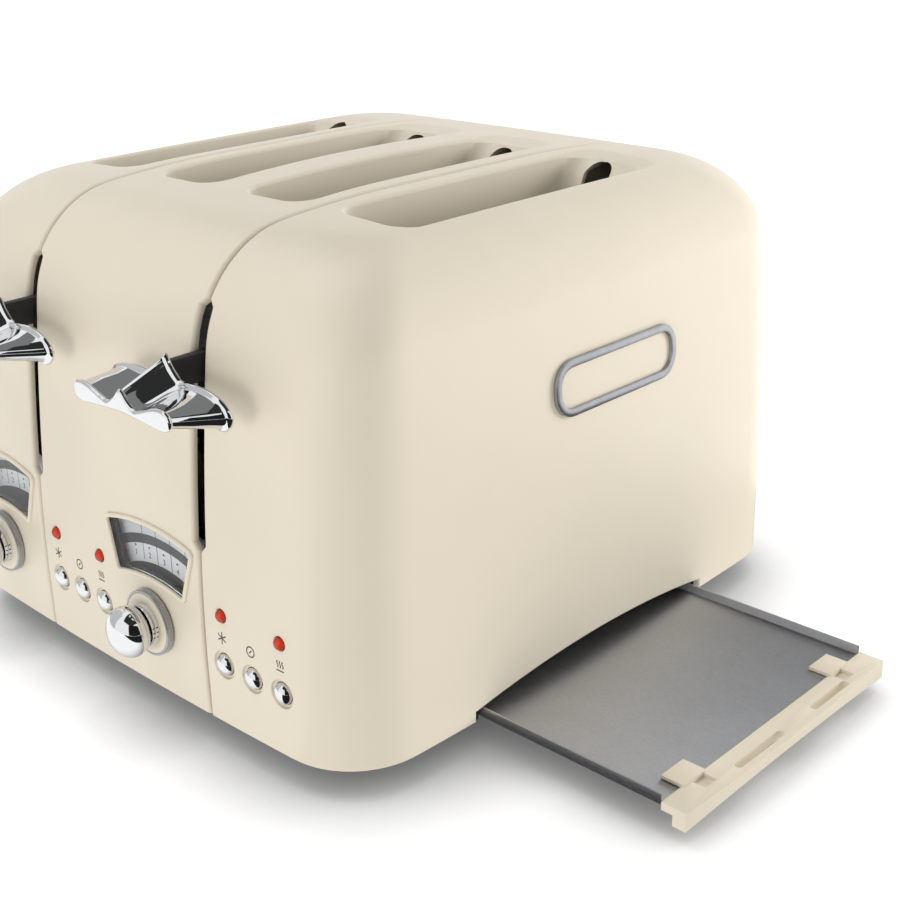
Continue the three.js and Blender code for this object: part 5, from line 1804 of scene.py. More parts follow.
@dataclass
class LeverHandle:
    """Plated lever handle with a bead round its rear and its front end."""

    shop: Workshop
    size: HandleSize
    probe: SurfaceProbe

    def __post_init__(self) -> None:
        """Sets the rear end off the case's front."""
        self.back = self.probe.front(0.0, self.size.stem_z).place.y - self.size.gap

    def ring(self, x: float, behind: float, inset: float) -> list[Triple]:
        """One section across the handle.

        Args:
            x: The lever's place.
            behind: Distance from the rear end.
            inset: How far inside the plain outline it runs.

        Returns:
            The section's points.
        """
        size = self.size
        share = behind / size.depth
        rear, front = (end.outline(size.stem_z, size.pieces) for end in (size.rear, size.front))
        line = rear + (front - rear) * share
        along = np.roll(line, -1, axis=0) - np.roll(line, 1, axis=0)
        length = np.linalg.norm(along, axis=1, keepdims=True)
        inward = np.stack([along[:, 1], -along[:, 0]], axis=1) / length
        if (inward * (line.mean(axis=0) - line)).sum() < 0:
            inward = -inward
        turn = np.roll(line, -1, axis=0) - 2 * line + np.roll(line, 1, axis=0)
        bend = (turn * inward).sum(axis=1) / (length[:, 0] / 2) ** 2
        reach = np.minimum(inset, size.bend_share / np.maximum(bend, size.least_bend))[:, None]
        moved = line + inward * reach
        return [(x + u, self.back - behind, v) for u, v in moved]

    def build(self, side: Side) -> Piece:
        """Builds one handle.

        Args:
            side: The module it belongs to.

        Returns:
            The handle.
        """
        rings = [self.ring(side.value, behind, inset) for behind, inset in self.size.sections]
        handle = self.shop.piece(f"lever_{side.label}", loft(rings), f"{side.label}_lever", smooth=BAND_SMOOTH)
        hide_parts(f"lever_handle_{side.label}")
        return handle


@dataclass(frozen=True)
class KnobSize:
    """Browning knob in millimetres: profiles of distance outward from its seat and radius."""

    seat: float = 21.6
    steps: int = 72
    ring: tuple[Pair, ...] = (
        (0.0, 3.0), (0.0, 13.9), (0.15, 14.15), (0.4, 14.2), (0.85, 14.2), (0.95, 14.02), (1.15, 14.02),
        (1.25, 14.2), (1.65, 14.2), (1.75, 14.02), (1.95, 14.02), (2.05, 14.2), (2.7, 14.2), (3.0, 14.1),
        (3.2, 13.85), (3.2, 13.5), (3.05, 13.25), (2.7, 13.15), (2.7, 0.0))
    disc: tuple[Pair, ...] = (
        (2.72, 0.0), (2.72, 13.1), (2.9, 13.1), (3.08, 12.95), (3.15, 12.6), (3.2, 10.2), (3.2, 0.0))
    skirt: tuple[Pair, ...] = ((3.22, 0.0), (3.22, 9.35), (3.3, 9.35), (6.8, 9.35))
    ball_middle: float = 11.9
    ball_depth: float = 8.0
    ball_radius: float = 10.9
    ball_turn: float = 134.0
    ball_steps: int = 34
    shaft: float = 3.0


@dataclass
class BrowningKnob:
    """Browning knob: grooved plated ring, cream disc with marks, plated neck and dome."""

    shop: Workshop
    size: KnobSize
    marks: GeometryStore

    def build(self, side: Side, finishes: MaterialShop) -> list[Piece]:
        """Builds and dresses one knob.

        Args:
            side: The module it belongs to.
            finishes: Makes the materials.

        Returns:
            Ring, disc, dome and marks.
        """
        size, label = self.size, side.label
        low, high = self.shop.node_box(f"browning_knob_{label}")
        seat = Vector(((low.x + high.x) / 2, low.y + size.seat, (low.z + high.z) / 2))
        shaft = high.y - seat.y
        turn = [math.radians(angle) for angle in np.linspace(size.ball_turn, 0, size.ball_steps)]
        dome = list(size.skirt) + [(size.ball_middle + size.ball_depth * math.cos(a),
                                    size.ball_radius * math.sin(a)) for a in turn]
        parts = []
        profiles = (("ring", [(-shaft, 0.0), (-shaft, size.shaft), *size.ring], SATIN_METAL, "chrome"),
                    ("disc", list(size.disc), CREAM_PLASTIC, "cream_plastic"), ("dome", dome, CHROME, "chrome"))
        for name, profile, finish, slot in profiles:
            skin = turned(profile, seat, (0, -1, 0), size.steps)
            part = self.shop.piece(f"knob_{name}_{label}", skin, f"{label}_knob", smooth=ROUND_SMOOTH)
            finishes.dress(part, finish)
            parts.append(part)
        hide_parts(f"browning_knob_{label}")
        front = seat + Vector((0, -size.disc[-1][0] - MARK_DEPTH, 0))
        marks = self.marks.knob_marks(f"knob_marks_{label}", front, finishes.get(PRINT))
        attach(marks, f"{label}_knob")
        return [*parts, marks]


@dataclass
class GeometryStore:
    """Pieces that repeat a shape, each made by a node tree and then fixed as a plain mesh."""

    shop: Workshop

    @staticmethod
    def tree(name: str, inputs: Sequence[tuple[str, str]]) -> tuple[NodeBench, Node, Node]:
        """Starts a geometry tree with named inputs.

        Args:
            name: Name of the tree.
            inputs: Pairs of input name and socket type.

        Returns:
            The bench, the input node and the output node.
        """
        tree = bpy.data.node_groups.new(name, "GeometryNodeTree")
        for label, kind in inputs:
            tree.interface.new_socket(label, in_out="INPUT", socket_type=kind)
        tree.interface.new_socket("Geometry", in_out="OUTPUT", socket_type="NodeSocketGeometry")
        bench = NodeBench(tree)
        return bench, bench.add("NodeGroupInput"), bench.add("NodeGroupOutput")

    def fixed(self, name: str, tree: Tree, values: dict[str, object],
              smooth: float | None = ROUND_SMOOTH) -> Piece:
        """Runs a tree once and keeps its result as a plain mesh.

        Args:
            name: Name of the piece.
            tree: The geometry tree.
            values: Values for its inputs.
            smooth: Largest smooth angle in degrees, or None.

        Returns:
            The piece.
        """
        made = linked(name, bpy.data.meshes.new(name))
        step = made.modifiers.new("shape", "NODES")
        step.node_group = tree
        for item in tree.interface.items_tree:
            if item.item_type == "SOCKET" and item.in_out == "INPUT" and item.name in values:
                step[item.identifier] = values[item.name]
        self.shop.apply(made)
        made.data.name = name
        if smooth is not None:
            self.shop.soften(made, smooth)
        return made

    def knob_marks(self, name: str, centre: Vector, material: bpy.types.Material) -> Piece:
        """Short printed ticks in an arc on a knob's disc.

        Args:
            name: Name of the piece.
            centre: Middle of the disc's face in millimetres.
            material: The print's material.

        Returns:
            The marks as one piece.
        """
        bench, start, end = self.tree("knob_marks", (
            ("Radius", "NodeSocketFloat"), ("Sweep", "NodeSocketFloat"), ("Count", "NodeSocketInt"),
            ("Tick", "NodeSocketVector"), ("Corner", "NodeSocketVector"), ("Step", "NodeSocketVector"),
            ("Material", "NodeSocketMaterial")))
        arc = bench.add("GeometryNodeCurveArc", {"Radius": start.outputs["Radius"],
                                                 "Start Angle": MARK_START, "Resolution": 24,
                                                 "Sweep Angle": start.outputs["Sweep"]})
        spots = bench.add("GeometryNodeCurveToPoints", {"Curve": arc.outputs[0], "Count": start.outputs["Count"]})
        tick = bench.add("GeometryNodeMeshCube", {"Size": start.outputs["Tick"]})
        row = bench.add("GeometryNodeInstanceOnPoints", {"Points": spots.outputs[0],
                                                         "Instance": tick.outputs[0],
                                                         "Rotation": spots.outputs["Rotation"]})
        stood = bench.add("GeometryNodeTransform", {"Geometry": row.outputs[0],
                                                    "Rotation": (math.pi / 2, 0.0, 0.0)})
        second = bench.add("GeometryNodeTransform", {"Geometry": stood.outputs[0],
                                                     "Translation": start.outputs["Step"]})
        self.finish_parts(bench, start, end, (stood.outputs[0], second.outputs[0]))
        place = self.shop.placement.spot(*centre)
        return self.fixed(name, bench.tree, {
            "Radius": MARK_RADIUS * MM, "Sweep": MARK_SWEEP, "Count": MARK_COUNT,
            "Tick": tuple(side * MM for side in MARK_SIZE), "Corner": tuple(place),
            "Step": (0.0, -MARK_STEP * MM, 0.0), "Material": material}, smooth=None)

    def rod(self, bench: NodeBench, radius: Socket, length: Socket,
            sides: int = 12) -> Socket:
        """A round rod along Z about the origin."""
        rod = bench.add("GeometryNodeMeshCylinder", {"Vertices": sides, "Radius": radius, "Depth": length})
        return rod.outputs[0]

    def wire_grid(self) -> Tree:
        """Tree of a bread guard: bottom bar with pins, top bar and upright wires.

        Returns:
            The tree.
        """
        bench, start, end = self.tree("wire_grid", (
            ("Corner", "NodeSocketVector"), ("Length", "NodeSocketFloat"), ("Height", "NodeSocketFloat"),
            ("Pin", "NodeSocketFloat"), ("Wire", "NodeSocketFloat"), ("Bar", "NodeSocketFloat"),
            ("Count", "NodeSocketInt"), ("Material", "NodeSocketMaterial")))
        length, height, pin, wire, bar = (start.outputs[key] for key in ("Length", "Height", "Pin", "Wire", "Bar"))
        inner = bench.calc(length, bench.calc(pin, 2.0, "MULTIPLY"), "SUBTRACT")
        stretch = bench.vector(1.0, bench.calc(bar, wire, "DIVIDE"), 1.0)
        half = bench.calc(length, 0.5, "MULTIPLY")
        top = bench.calc(height, bar, "SUBTRACT")
        parts = []
        for span, level in ((length, bar), (inner, top)):
            flat = bench.add("GeometryNodeTransform", {"Geometry": self.rod(bench, wire, span), "Scale": stretch})
            lying = bench.add("GeometryNodeTransform", {
                "Geometry": flat.outputs[0], "Rotation": (math.pi / 2, 0.0, 0.0),
                "Translation": bench.vector(0.0, half, level)})
            parts.append(lying.outputs[0])
        uprights = bench.calc(top, bar, "SUBTRACT")
        first = bench.vector(0.0, bench.calc(pin, wire), bench.calc(height, 0.5, "MULTIPLY"))
        gaps = bench.calc(start.outputs["Count"], 1.0, "SUBTRACT")
        run = bench.calc(inner, bench.calc(wire, 2.0, "MULTIPLY"), "SUBTRACT")
        row = bench.add("GeometryNodeMeshLine", {"Count": start.outputs["Count"], "Start Location": first,
                                                 "Offset": bench.vector(y=bench.calc(run, gaps, "DIVIDE"))})
        wires = bench.add("GeometryNodeInstanceOnPoints", {"Points": row.outputs[0],
                                                           "Instance": self.rod(bench, wire, uprights, 10)})
        parts.append(wires.outputs[0])
        self.finish_parts(bench, start, end, parts)
        return bench.tree

    def ribbon_set(self) -> Tree:
        """Tree of the flat ribbons on both faces of a heater card.

        Returns:
            The tree.
        """
        bench, start, end = self.tree("ribbon_set", (
            ("Corner", "NodeSocketVector"), ("Length", "NodeSocketFloat"), ("Height", "NodeSocketFloat"),
            ("Side", "NodeSocketFloat"), ("Thickness", "NodeSocketFloat"), ("Width", "NodeSocketFloat"),
            ("Count", "NodeSocketInt"), ("Material", "NodeSocketMaterial")))
        length, height, side = (start.outputs[key] for key in ("Length", "Height", "Side"))
        pitch = bench.calc(height, bench.calc(start.outputs["Count"], 1.0), "DIVIDE")
        short = bench.calc(length, RIBBON_MARGIN * 2 * MM, "SUBTRACT")
        strip = bench.add("GeometryNodeMeshCube", {
            "Size": bench.vector(start.outputs["Thickness"], short, start.outputs["Width"])})
        parts = []
        for sign in (-1.0, 1.0):
            first = bench.vector(bench.calc(side, sign, "MULTIPLY"), bench.calc(length, 0.5, "MULTIPLY"), pitch)
            row = bench.add("GeometryNodeMeshLine", {"Count": start.outputs["Count"], "Start Location": first,
                                                     "Offset": bench.vector(0.0, 0.0, pitch)})
            strips = bench.add("GeometryNodeInstanceOnPoints", {"Points": row.outputs[0],
                                                                "Instance": strip.outputs[0]})
            parts.append(strips.outputs[0])
        self.finish_parts(bench, start, end, parts)
        return bench.tree

    @staticmethod
    def finish_parts(bench: NodeBench, start: Node, end: Node,
                     parts: Sequence[Socket]) -> None:
        """Joins parts, moves them to the tree's corner and makes them real with the tree's material."""
        joined = bench.add("GeometryNodeJoinGeometry")
        for part in parts:
            bench.tree.links.new(part, joined.inputs[0])
        moved = bench.add("GeometryNodeTransform", {"Geometry": joined.outputs[0],
                                                    "Translation": start.outputs["Corner"]})
        real = bench.add("GeometryNodeRealizeInstances", {"Geometry": moved.outputs[0]})
        painted = bench.add("GeometryNodeSetMaterial", {"Geometry": real.outputs[0],
                                                        "Material": start.outputs["Material"]})
        bench.tree.links.new(painted.outputs[0], end.inputs[0])


@dataclass
class Gauge:
    """Arched gauge: raised bead, curved window, printed dial with separators, dots and numbers."""

    shop: Workshop
    probe: SurfaceProbe
    size: GaugeSize

    def build(self, side: Side, finishes: MaterialShop) -> list[Piece]:
        """Builds and dresses one gauge.

        Args:
            side: The module it belongs to.
            finishes: Makes the materials.

        Returns:
            Its pieces.
        """
        x = side.value - self.size.knob_offset
        bezel = self.shop.piece(f"bezel_{side.label}", self.band(x, BEAD), "case", smooth=BAND_SMOOTH)
        finishes.dress(bezel, CREAM_PLASTIC)
        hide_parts(f"gauge_bezel_{side.label}")
        # painted shade: a black band inside the bead stands in for the shaded wall of the window's recess
        shade_band = self.shop.piece(f"liner_{side.label}", self.band(x, SHADE_BAND), "case", smooth=BAND_SMOOTH)
        finishes.dress(shade_band, BLACK_PLASTIC)
        window = self.shop.piece(f"window_{side.label}", self.window(x), "case", smooth=ROUND_SMOOTH)
        finishes.dress(window, WINDOW)
        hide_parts(f"gauge_window_{side.label}")
        return [bezel, shade_band, window, *self.print(side, finishes)]

    def band(self, x: float, section: Sequence[Pair]) -> Skin:
        """Closed band round the window, following the face.

        Args:
            x: Place of the knob's line.
            section: Pairs of distance outward from the bead's middle and height over the face.

        Returns:
            The band.
        """
        size = self.size
        path = size.outline(x, -size.wall / 2, steps=22, corner_steps=6)
        rings = []
        count = len(path)
        for i, (u, v) in enumerate(path):
            face = self.probe.front(u, v)
            along = path[(i + 1) % count] - path[i - 1]
            outward = Vector((along[1], 0, -along[0])).normalized()
            outward = (outward - face.normal * outward.dot(face.normal)).normalized()
            rings.append([face.place + outward * across + face.normal * high for across, high in section])
        return loft(rings, capped=False, closed=True)

    def window(self, x: float) -> Skin:
        """Clear plate just inside the bead, following the face."""
        size = self.size
        outline = size.outline(x, -size.wall - size.window_gap, steps=14, corner_steps=4)
        middle = outline.mean(axis=0)
        rings = []
        for depth, shares in zip(size.window_depths, (size.window_shares, size.window_shares[::-1])):
            for share in shares:
                ring = []
                for u, v in middle + (outline - middle) * share:
                    face = self.probe.front(u, v)
                    ring.append(face.place - face.normal * depth)
                rings.append(ring)
        return loft(rings, capped=False)

    def print(self, side: Side, finishes: MaterialShop) -> list[Piece]:
        """Printed marks on the dial, which keeps its CAD plate."""
        label = side.label
        low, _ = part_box(f"gauge_dial_{label}")
        x = side.value - self.size.knob_offset
        front = low.y / MM - self.shop.placement.y / MM
        arc_x, arc_z = x + DIAL_SHIFT, DIAL_ARC_Z
        centre = tuple(self.shop.placement.spot(arc_x, 0.0, arc_z))
        dial = bpy.data.objects[f"gauge_dial_{label}"]
        finishes.dress(dial, replace(DIAL, name=f"dial_print_{label}", centre=centre))
        bars = []
        for place in DIAL_SEPARATORS:
            bars.append(self.bar(x + place, *(arc_z + reach for reach in BAR_REACH), front))
        dot = [(0.0, 0.0), (0.0, DOT_RADIUS), (INK, DOT_RADIUS), (INK, 0.0)]
        for place, z in DIAL_DOTS:
            bars.append(turned(dot, (x + place, front, z), (0, -1, 0), DOT_FACETS))
        marks = self.shop.piece(f"dial_marks_{label}", join_skins(bars), "case", smooth=None)
        finishes.dress(marks, PRINT)
        numbers = [self.number(f"dial_number_{label}_{i}", str(i), x + place, front, z - NUMBER_DROP)
                   for i, (place, z) in enumerate(DIAL_DOTS, 1)]
        for number in numbers:
            finishes.dress(number, PRINT)
        return [marks, *numbers]

    @staticmethod
    def bar(x: float, low: float, high: float, front: float) -> Skin:
        """Thin upright bar printed on the dial."""
        left, right = x - BAR_WIDTH / 2, x + BAR_WIDTH / 2
        return loft([[(right, front, z), (left, front, z), (left, front - INK, z), (right, front - INK, z)]
                     for z in (low, high)])

    def number(self, name: str, text: str, x: float, y: float, z: float) -> Piece:
        """A printed number, its top middle at the given place."""
        curve = bpy.data.curves.new(name, "FONT")
        curve.body = text
        curve.size = NUMBER_SIZE * MM
        curve.align_x, curve.align_y = "CENTER", "TOP"
        curve.extrude = NUMBER_HALF * MM
        curve.resolution_u = 4
        flat = linked(f"{name}_text", curve)
        bpy.context.view_layer.update()
        mesh = bpy.data.meshes.new_from_object(flat.evaluated_get(bpy.context.evaluated_depsgraph_get()))
        bpy.data.objects.remove(flat)
        stand = Matrix.Rotation(math.pi / 2, 4, "X")
        mesh.transform(Matrix.Translation(self.shop.placement.spot(x, y - NUMBER_PROUD, z + NUMBER_LIFT)) @ stand)
        made = linked(name, mesh)
        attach(made, "case")
        return made


@dataclass(frozen=True)
class ButtonShape:
    """Push button and lamp in millimetres."""

    radius: float = 4.5
    dome: float = 3.0
    cad_front: float = 4.3
    proud: float = -0.9
    stem: float = 2.0
    collar: float = 6.0
    collar_from: float = 4.7
    collar_to: float = 6.2
    lamp_radius: float = 2.6
    lamp_proud: float = 1.2
    lamp_dome: float = 1.9
    lamp_seat: float = 0.4
    dome_steps: int = 12
    lamp_steps: int = 9


@dataclass
class ButtonRow:
    """Three plated push buttons, two lamps and the signs over them."""

    shop: Workshop
    probe: SurfaceProbe
    controls: ControlSize
    shape: ButtonShape

    def build(self, side: Side, finishes: MaterialShop) -> list[Piece]:
        """Builds and dresses the row of one module.

        Args:
            side: The module.
            finishes: Makes the materials.

        Returns:
            Its pieces.
        """
        made = []
        for number, name in enumerate(self.controls.names):
            button = self.button(side, name)
            finishes.dress(button, CHROME)
            made.append(button)
            sign = self.sign(side, number, name)
            finishes.dress(sign, PRINT)
            made.append(sign)
        for number in self.controls.lamps:
            lamp = self.lamp(side, number)
            finishes.dress(lamp, RED_LENS)
            made.append(lamp)
        return made

    def button(self, side: Side, name: str) -> Piece:
        """One push button with its collar and stem."""
        shape = self.shape
        node = f"{name}_button_{side.label}"
        low, high = self.shop.node_box(node)
        face = low.y + shape.cad_front
        centre = ((low.x + high.x) / 2, face, (low.z + high.z) / 2)
        profile = [(-(high.y - face), 0.0), (-(high.y - face), shape.stem), (-shape.collar_to, shape.stem),
                   (-shape.collar_to, shape.collar), (-shape.collar_from, shape.collar),
                   (-shape.collar_from, shape.radius)]
        profile += domed(shape.proud, shape.dome, shape.radius, shape.dome_steps)
        button = self.shop.piece(f"{name}_{side.label}", turned(profile, centre, (0, -1, 0), BUTTON_FACETS),
                                 f"{side.label}_{name}", smooth=ROUND_SMOOTH)
        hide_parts(node)
        return button

    def lamp(self, side: Side, number: int) -> Piece:
        """One lamp with a domed cap."""
        shape, name = self.shape, self.controls.names[number]
        node = f"{name}_lamp_{side.label}"
        low, high = self.shop.node_box(node)
        centre = ((low.x + high.x) / 2, low.y + shape.lamp_proud, (low.z + high.z) / 2)
        profile = [(-(high.y - centre[1]), 0.0), (-(high.y - centre[1]), shape.lamp_radius),
                   (-shape.lamp_seat, shape.lamp_radius),
                   *domed(0.0, shape.lamp_dome, shape.lamp_radius, shape.lamp_steps)]
        lamp = self.shop.piece(f"lamp_{name}_{side.label}", turned(profile, centre, (0, -1, 0), FACETS), "case",
                               smooth=ROUND_SMOOTH)
        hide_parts(node)
        return lamp

    def sign(self, side: Side, number: int, name: str) -> Piece:
        """Printed sign over a button: a star, a barred ring or heat waves over a line."""
        x, z = self.controls.button_x(side, number), SIGN_Z
        strokes: list[list[Pair]] = []
        if name == "defrost":
            for degrees in (90, 30, -30):
                angle = math.radians(degrees)
                reach = (SIGN_SIZE * math.cos(angle) / 2, SIGN_SIZE * math.sin(angle) / 2)
                strokes.append([(x - reach[0], z - reach[1]), (x + reach[0], z + reach[1])])
        elif name == "cancel":
            strokes.append(arc_points((x, z), SIGN_SIZE * SIGN_RING, 0, 360, 28))
            strokes.append([(x - SIGN_BAR, z - SIGN_BAR), (x + SIGN_BAR, z + SIGN_BAR)])
        else:
            for shift in (-WAVE_PITCH, 0.0, WAVE_PITCH):
                strokes.append([(x + shift + WAVE_SIZE * math.sin(k * math.pi / 4), z - WAVE_LOW + k * WAVE_SIZE)
                                for k in range(WAVE_POINTS)])
            strokes.append([(x - LINE_HALF, z - LINE_DROP), (x + LINE_HALF, z - LINE_DROP)])
        skins = [self.ribbon(stroke) for stroke in strokes]
        return self.shop.piece(f"sign_{name}_{side.label}", join_skins(skins), "case", smooth=None)

    def ribbon(self, stroke: Sequence[Pair]) -> Skin:
        """Thin printed line on the front face."""
        places = [self.probe.front(u, v) for u, v in stroke]
        rings = []
        for i, point in enumerate(places):
            before = places[max(i - 1, 0)].place
            after = places[min(i + 1, len(places) - 1)].place
            if (stroke[0][0] - stroke[-1][0]) ** 2 + (stroke[0][1] - stroke[-1][1]) ** 2 < 1e-6 and i in (
                    0, len(places) - 1):
                before, after = places[-2].place, places[1].place
            across = (after - before).cross(point.normal).normalized() * (SIGN_LINE / 2)
            over, under = point.normal * SIGN_PROUD, point.normal * SIGN_SUNK
            rings.append([point.place + across + over, point.place - across + over,
                          point.place - across - under, point.place + across - under])
        return loft(rings)


@dataclass(frozen=True)
class BadgeSize:
    """Plain framed plate on the right-hand side, in millimetres."""

    length: float = 79.0
    height: float = 23.4
    corner: float = 10.4
    drop: float = 1.2
    rim: float = 3.3
    proud: float = 1.8
    sunk: float = 0.1
    ease: tuple[Pair, ...] = ((0.0, 0.45), (0.12, 0.15), (0.4, 0.0))
    field: float = 0.35
    field_lap: float = 0.2
    field_steps: tuple[float, ...] = (0.0, 2.4, 4.8)
    field_core: float = 1.7


@dataclass
class SidePlate:
    """Raised satin frame with an empty painted field; nothing is written on it."""

    shop: Workshop
    probe: SurfaceProbe
    size: BadgeSize

    def __post_init__(self) -> None:
        """Finds the plate's middle from its node."""
        low, high = self.shop.node_box("side_plate")
        self.centre = ((low.y + high.y) / 2, (low.z + high.z) / 2 - self.size.drop)

    def ring(self, inset: float, proud: float) -> list[Vector]:
        """One outline of the plate on the case's side.

        Args:
            inset: How far inside the plate's outline it runs.
            proud: How far it stands off the side.

        Returns:
            The outline's points.
        """
        size = self.size
        outline = rounded_box_outline(self.centre, (size.length - 2 * inset, size.height - 2 * inset),
                                      max(size.corner - inset, 1.0), corner=10, along=16)
        places = [self.probe.right(y, z) for y, z in outline]
        return [point.place + point.normal * proud for point in places]

    def build(self, finishes: MaterialShop) -> list[Piece]:
        """Builds frame and field.

        Args:
            finishes: Makes the materials.

        Returns:
            Frame and field.
        """
        size = self.size
        section = ((0.0, -size.sunk), *((inset, size.proud - drop) for inset, drop in size.ease),
                   *((size.rim - inset, size.proud - drop) for inset, drop in size.ease[::-1]),
                   (size.rim, -size.sunk))
        frame = self.shop.piece("side_frame", loft([self.ring(*pair) for pair in section], False, True), "case",
                                smooth=ROUND_SMOOTH)
        finishes.dress(frame, SATIN_METAL)
        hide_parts("side_plate")
        insets = [*(size.rim - size.field_lap + step for step in size.field_steps),
                  size.height / 2 - size.field_core]
        rings = [self.ring(inset, size.field) for inset in reversed(insets)]
        rings += [self.ring(inset, -size.sunk) for inset in insets]
        field = self.shop.piece("side_field", loft(rings), "case", smooth=ROUND_SMOOTH)
        finishes.dress(field, CASE_PAINT)
        return [frame, field]


@dataclass
class CrumbTray:
    """Crumb tray: folded satin pan and the moulded front with its two grips."""

    shop: Workshop

    def build(self, finishes: MaterialShop) -> list[Piece]:
        """Builds and dresses pan and front.

        Args:
            finishes: Makes the materials.

        Returns:
            Pan and front.
        """
        pan = self.shop.copy_node("crumb_tray_pan", "tray_pan", "crumb_tray", PAN_BEVEL, segments=2)
        finishes.dress(pan, TRAY_STEEL)
        front = self.shop.copy_node("crumb_tray_handle", "tray_front", "crumb_tray", FRONT_BEVEL)
        finishes.dress(front, CREAM_PLASTIC)
        return [pan, front]


@dataclass
class BreadGuards:
    """Wire grids beside the bread, one for each side of each slot."""

    SLOTS = 4
    WIRE = 0.8
    BAR = 1.5
    WIRES = 8

    store: GeometryStore

    def build(self, finishes: MaterialShop) -> list[Piece]:
        """Builds and dresses the eight grids.

        Args:
            finishes: Makes the materials.

        Returns:
            The grids.
        """
        tree = self.store.wire_grid()
        made = []
        for number in range(1, self.SLOTS + 1):
            for side in Side:
                node = f"bread_guard_{number}_{side.label}"
                low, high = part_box(node)
                size = high - low
                grid = self.store.fixed(f"grid_{number}_{side.label}", tree, {
                    "Corner": ((low.x + high.x) / 2, low.y, low.z), "Length": size.y, "Height": size.z,
                    "Pin": PIN_REACH * MM, "Wire": self.WIRE * MM, "Bar": self.BAR * MM, "Count": self.WIRES,
                    "Material": finishes.get(STEEL)})
                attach(grid, f"guard_{number}_{side.label}")
                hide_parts(node)
                made.append(grid)
        return made


@dataclass
class HeaterCards:
    """Mica sheets with flat heating ribbons on both faces."""

    SHEETS = 6
    RIBBONS = 5

    shop: Workshop
    store: GeometryStore

    def build(self, finishes: MaterialShop) -> list[Piece]:
        """Builds and dresses sheets and ribbons.

        Args:
            finishes: Makes the materials.

        Returns:
            Six sheets and six sets of ribbons.
        """
        tree = self.store.ribbon_set()
        made = []
        for number in range(1, self.SHEETS + 1):
            node = f"heater_card_{number}"
            low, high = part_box(node)
            middle = (low.x + high.x) / 2
            place = self.shop.placement.millimetres(Vector((middle, (low.y + high.y) / 2, (low.z + high.z) / 2)))
            size = (high - low) / MM
            half = (CARD_THICKNESS / 2, size.y / 2, size.z / 2)
            rings = [[(place.x + dx, place.y + sy * (half[1] - drop), place.z + sz * (half[2] - drop))
                      for sy, sz in ((-1, -1), (1, -1), (1, 1), (-1, 1))]
                     for dx, drop in ((-half[0], CARD_EDGE), (CARD_EDGE - half[0], 0.0), (half[0] - CARD_EDGE, 0.0),
                                     (half[0], CARD_EDGE))]
            sheet = self.shop.piece(f"heater_sheet_{number}", loft(rings), "case", smooth=None)
            finishes.dress(sheet, MICA)
            ribbons = self.store.fixed(f"heater_ribbons_{number}", tree, {
                "Corner": (middle, low.y, low.z), "Length": high.y - low.y, "Height": high.z - low.z,
                "Side": (CARD_THICKNESS / 2 + RIBBON_THICKNESS / 2) * MM, "Thickness": RIBBON_THICKNESS * MM,
                "Width": RIBBON_WIDTH * MM, "Count": self.RIBBONS, "Material": finishes.get(COIL)}, smooth=None)
            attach(ribbons, "case")
            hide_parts(node)
            made += [sheet, ribbons]
        return made


class Mechanism:
    """Parts behind and under the case that keep the CAD shape, with their edges rounded."""

    BEVELS: tuple[tuple[str, str, float, Finish, str], ...] = (
        ("base_plate", "case", 0.5, BLACK_PLASTIC, "black_plastic"),
        ("cord_gland", "case", 0.6, BLACK_PLASTIC, "black_plastic"),
        *((f"foot_{end}_{side.label}", "case", 0.8, RUBBER, "foot_rubber")
          for end in ("front", "rear") for side in Side),
        *((f"carriage_{side.label}", f"{side.label}_lever", 0.3, BLACK_STEEL, "black_steel") for side in Side),
        *((f"gauge_needle_{side.label}", f"{side.label}_needle", 0.15, NEEDLE_RED, "red_plastic") for side in Side),
        *((f"latch_magnet_{side.label}", "case", 0.3, COIL, "coil") for side in Side),
    )

    def __init__(self, shop: Workshop) -> None:
        """Keeps the workshop."""
        self.shop = shop

    def build(self, finishes: MaterialShop) -> list[Piece]:
        """Builds and dresses the rounded copies.

        Args:
            finishes: Makes the materials.

        Returns:
            The copies.
        """
        made = []
        for node, body, bevel, finish, slot in self.BEVELS:
            copy = self.shop.copy_node(node, f"{node}_dressed", body, bevel, segments=2)
            finishes.dress(copy, finish)
            made.append(copy)
        return made


# ---------------------------------------------------------------- studio


@dataclass(frozen=True)
class CameraSize:
    """Camera in millimetres and degrees, about the case."""

    eye: Triple = (476.97, -437.94, 329.93)
    azimuth: float = 44.05
    elevation: float = 22.15
    roll: float = -1.26
    focal_pixels: float = 1451.21
    image_pixels: float = 902.0
    sensor: float = 36.0
    clip: Pair = (0.01, 50.0)


@dataclass(frozen=True)
class Lamp:
    """One soft lamp: where it stands, what it looks at, how big and how strong it is."""

    name: str
    place: Triple
    target: Triple
    size: Pair
    power: float
    glossy: bool = True


@dataclass(frozen=True)
class Card:
    """One card that only mirrors see: its middle, what it faces, its size in millimetres and how light it is."""

    name: str
    place: Triple
    target: Triple
    size: Pair
    grey: float = 0.015


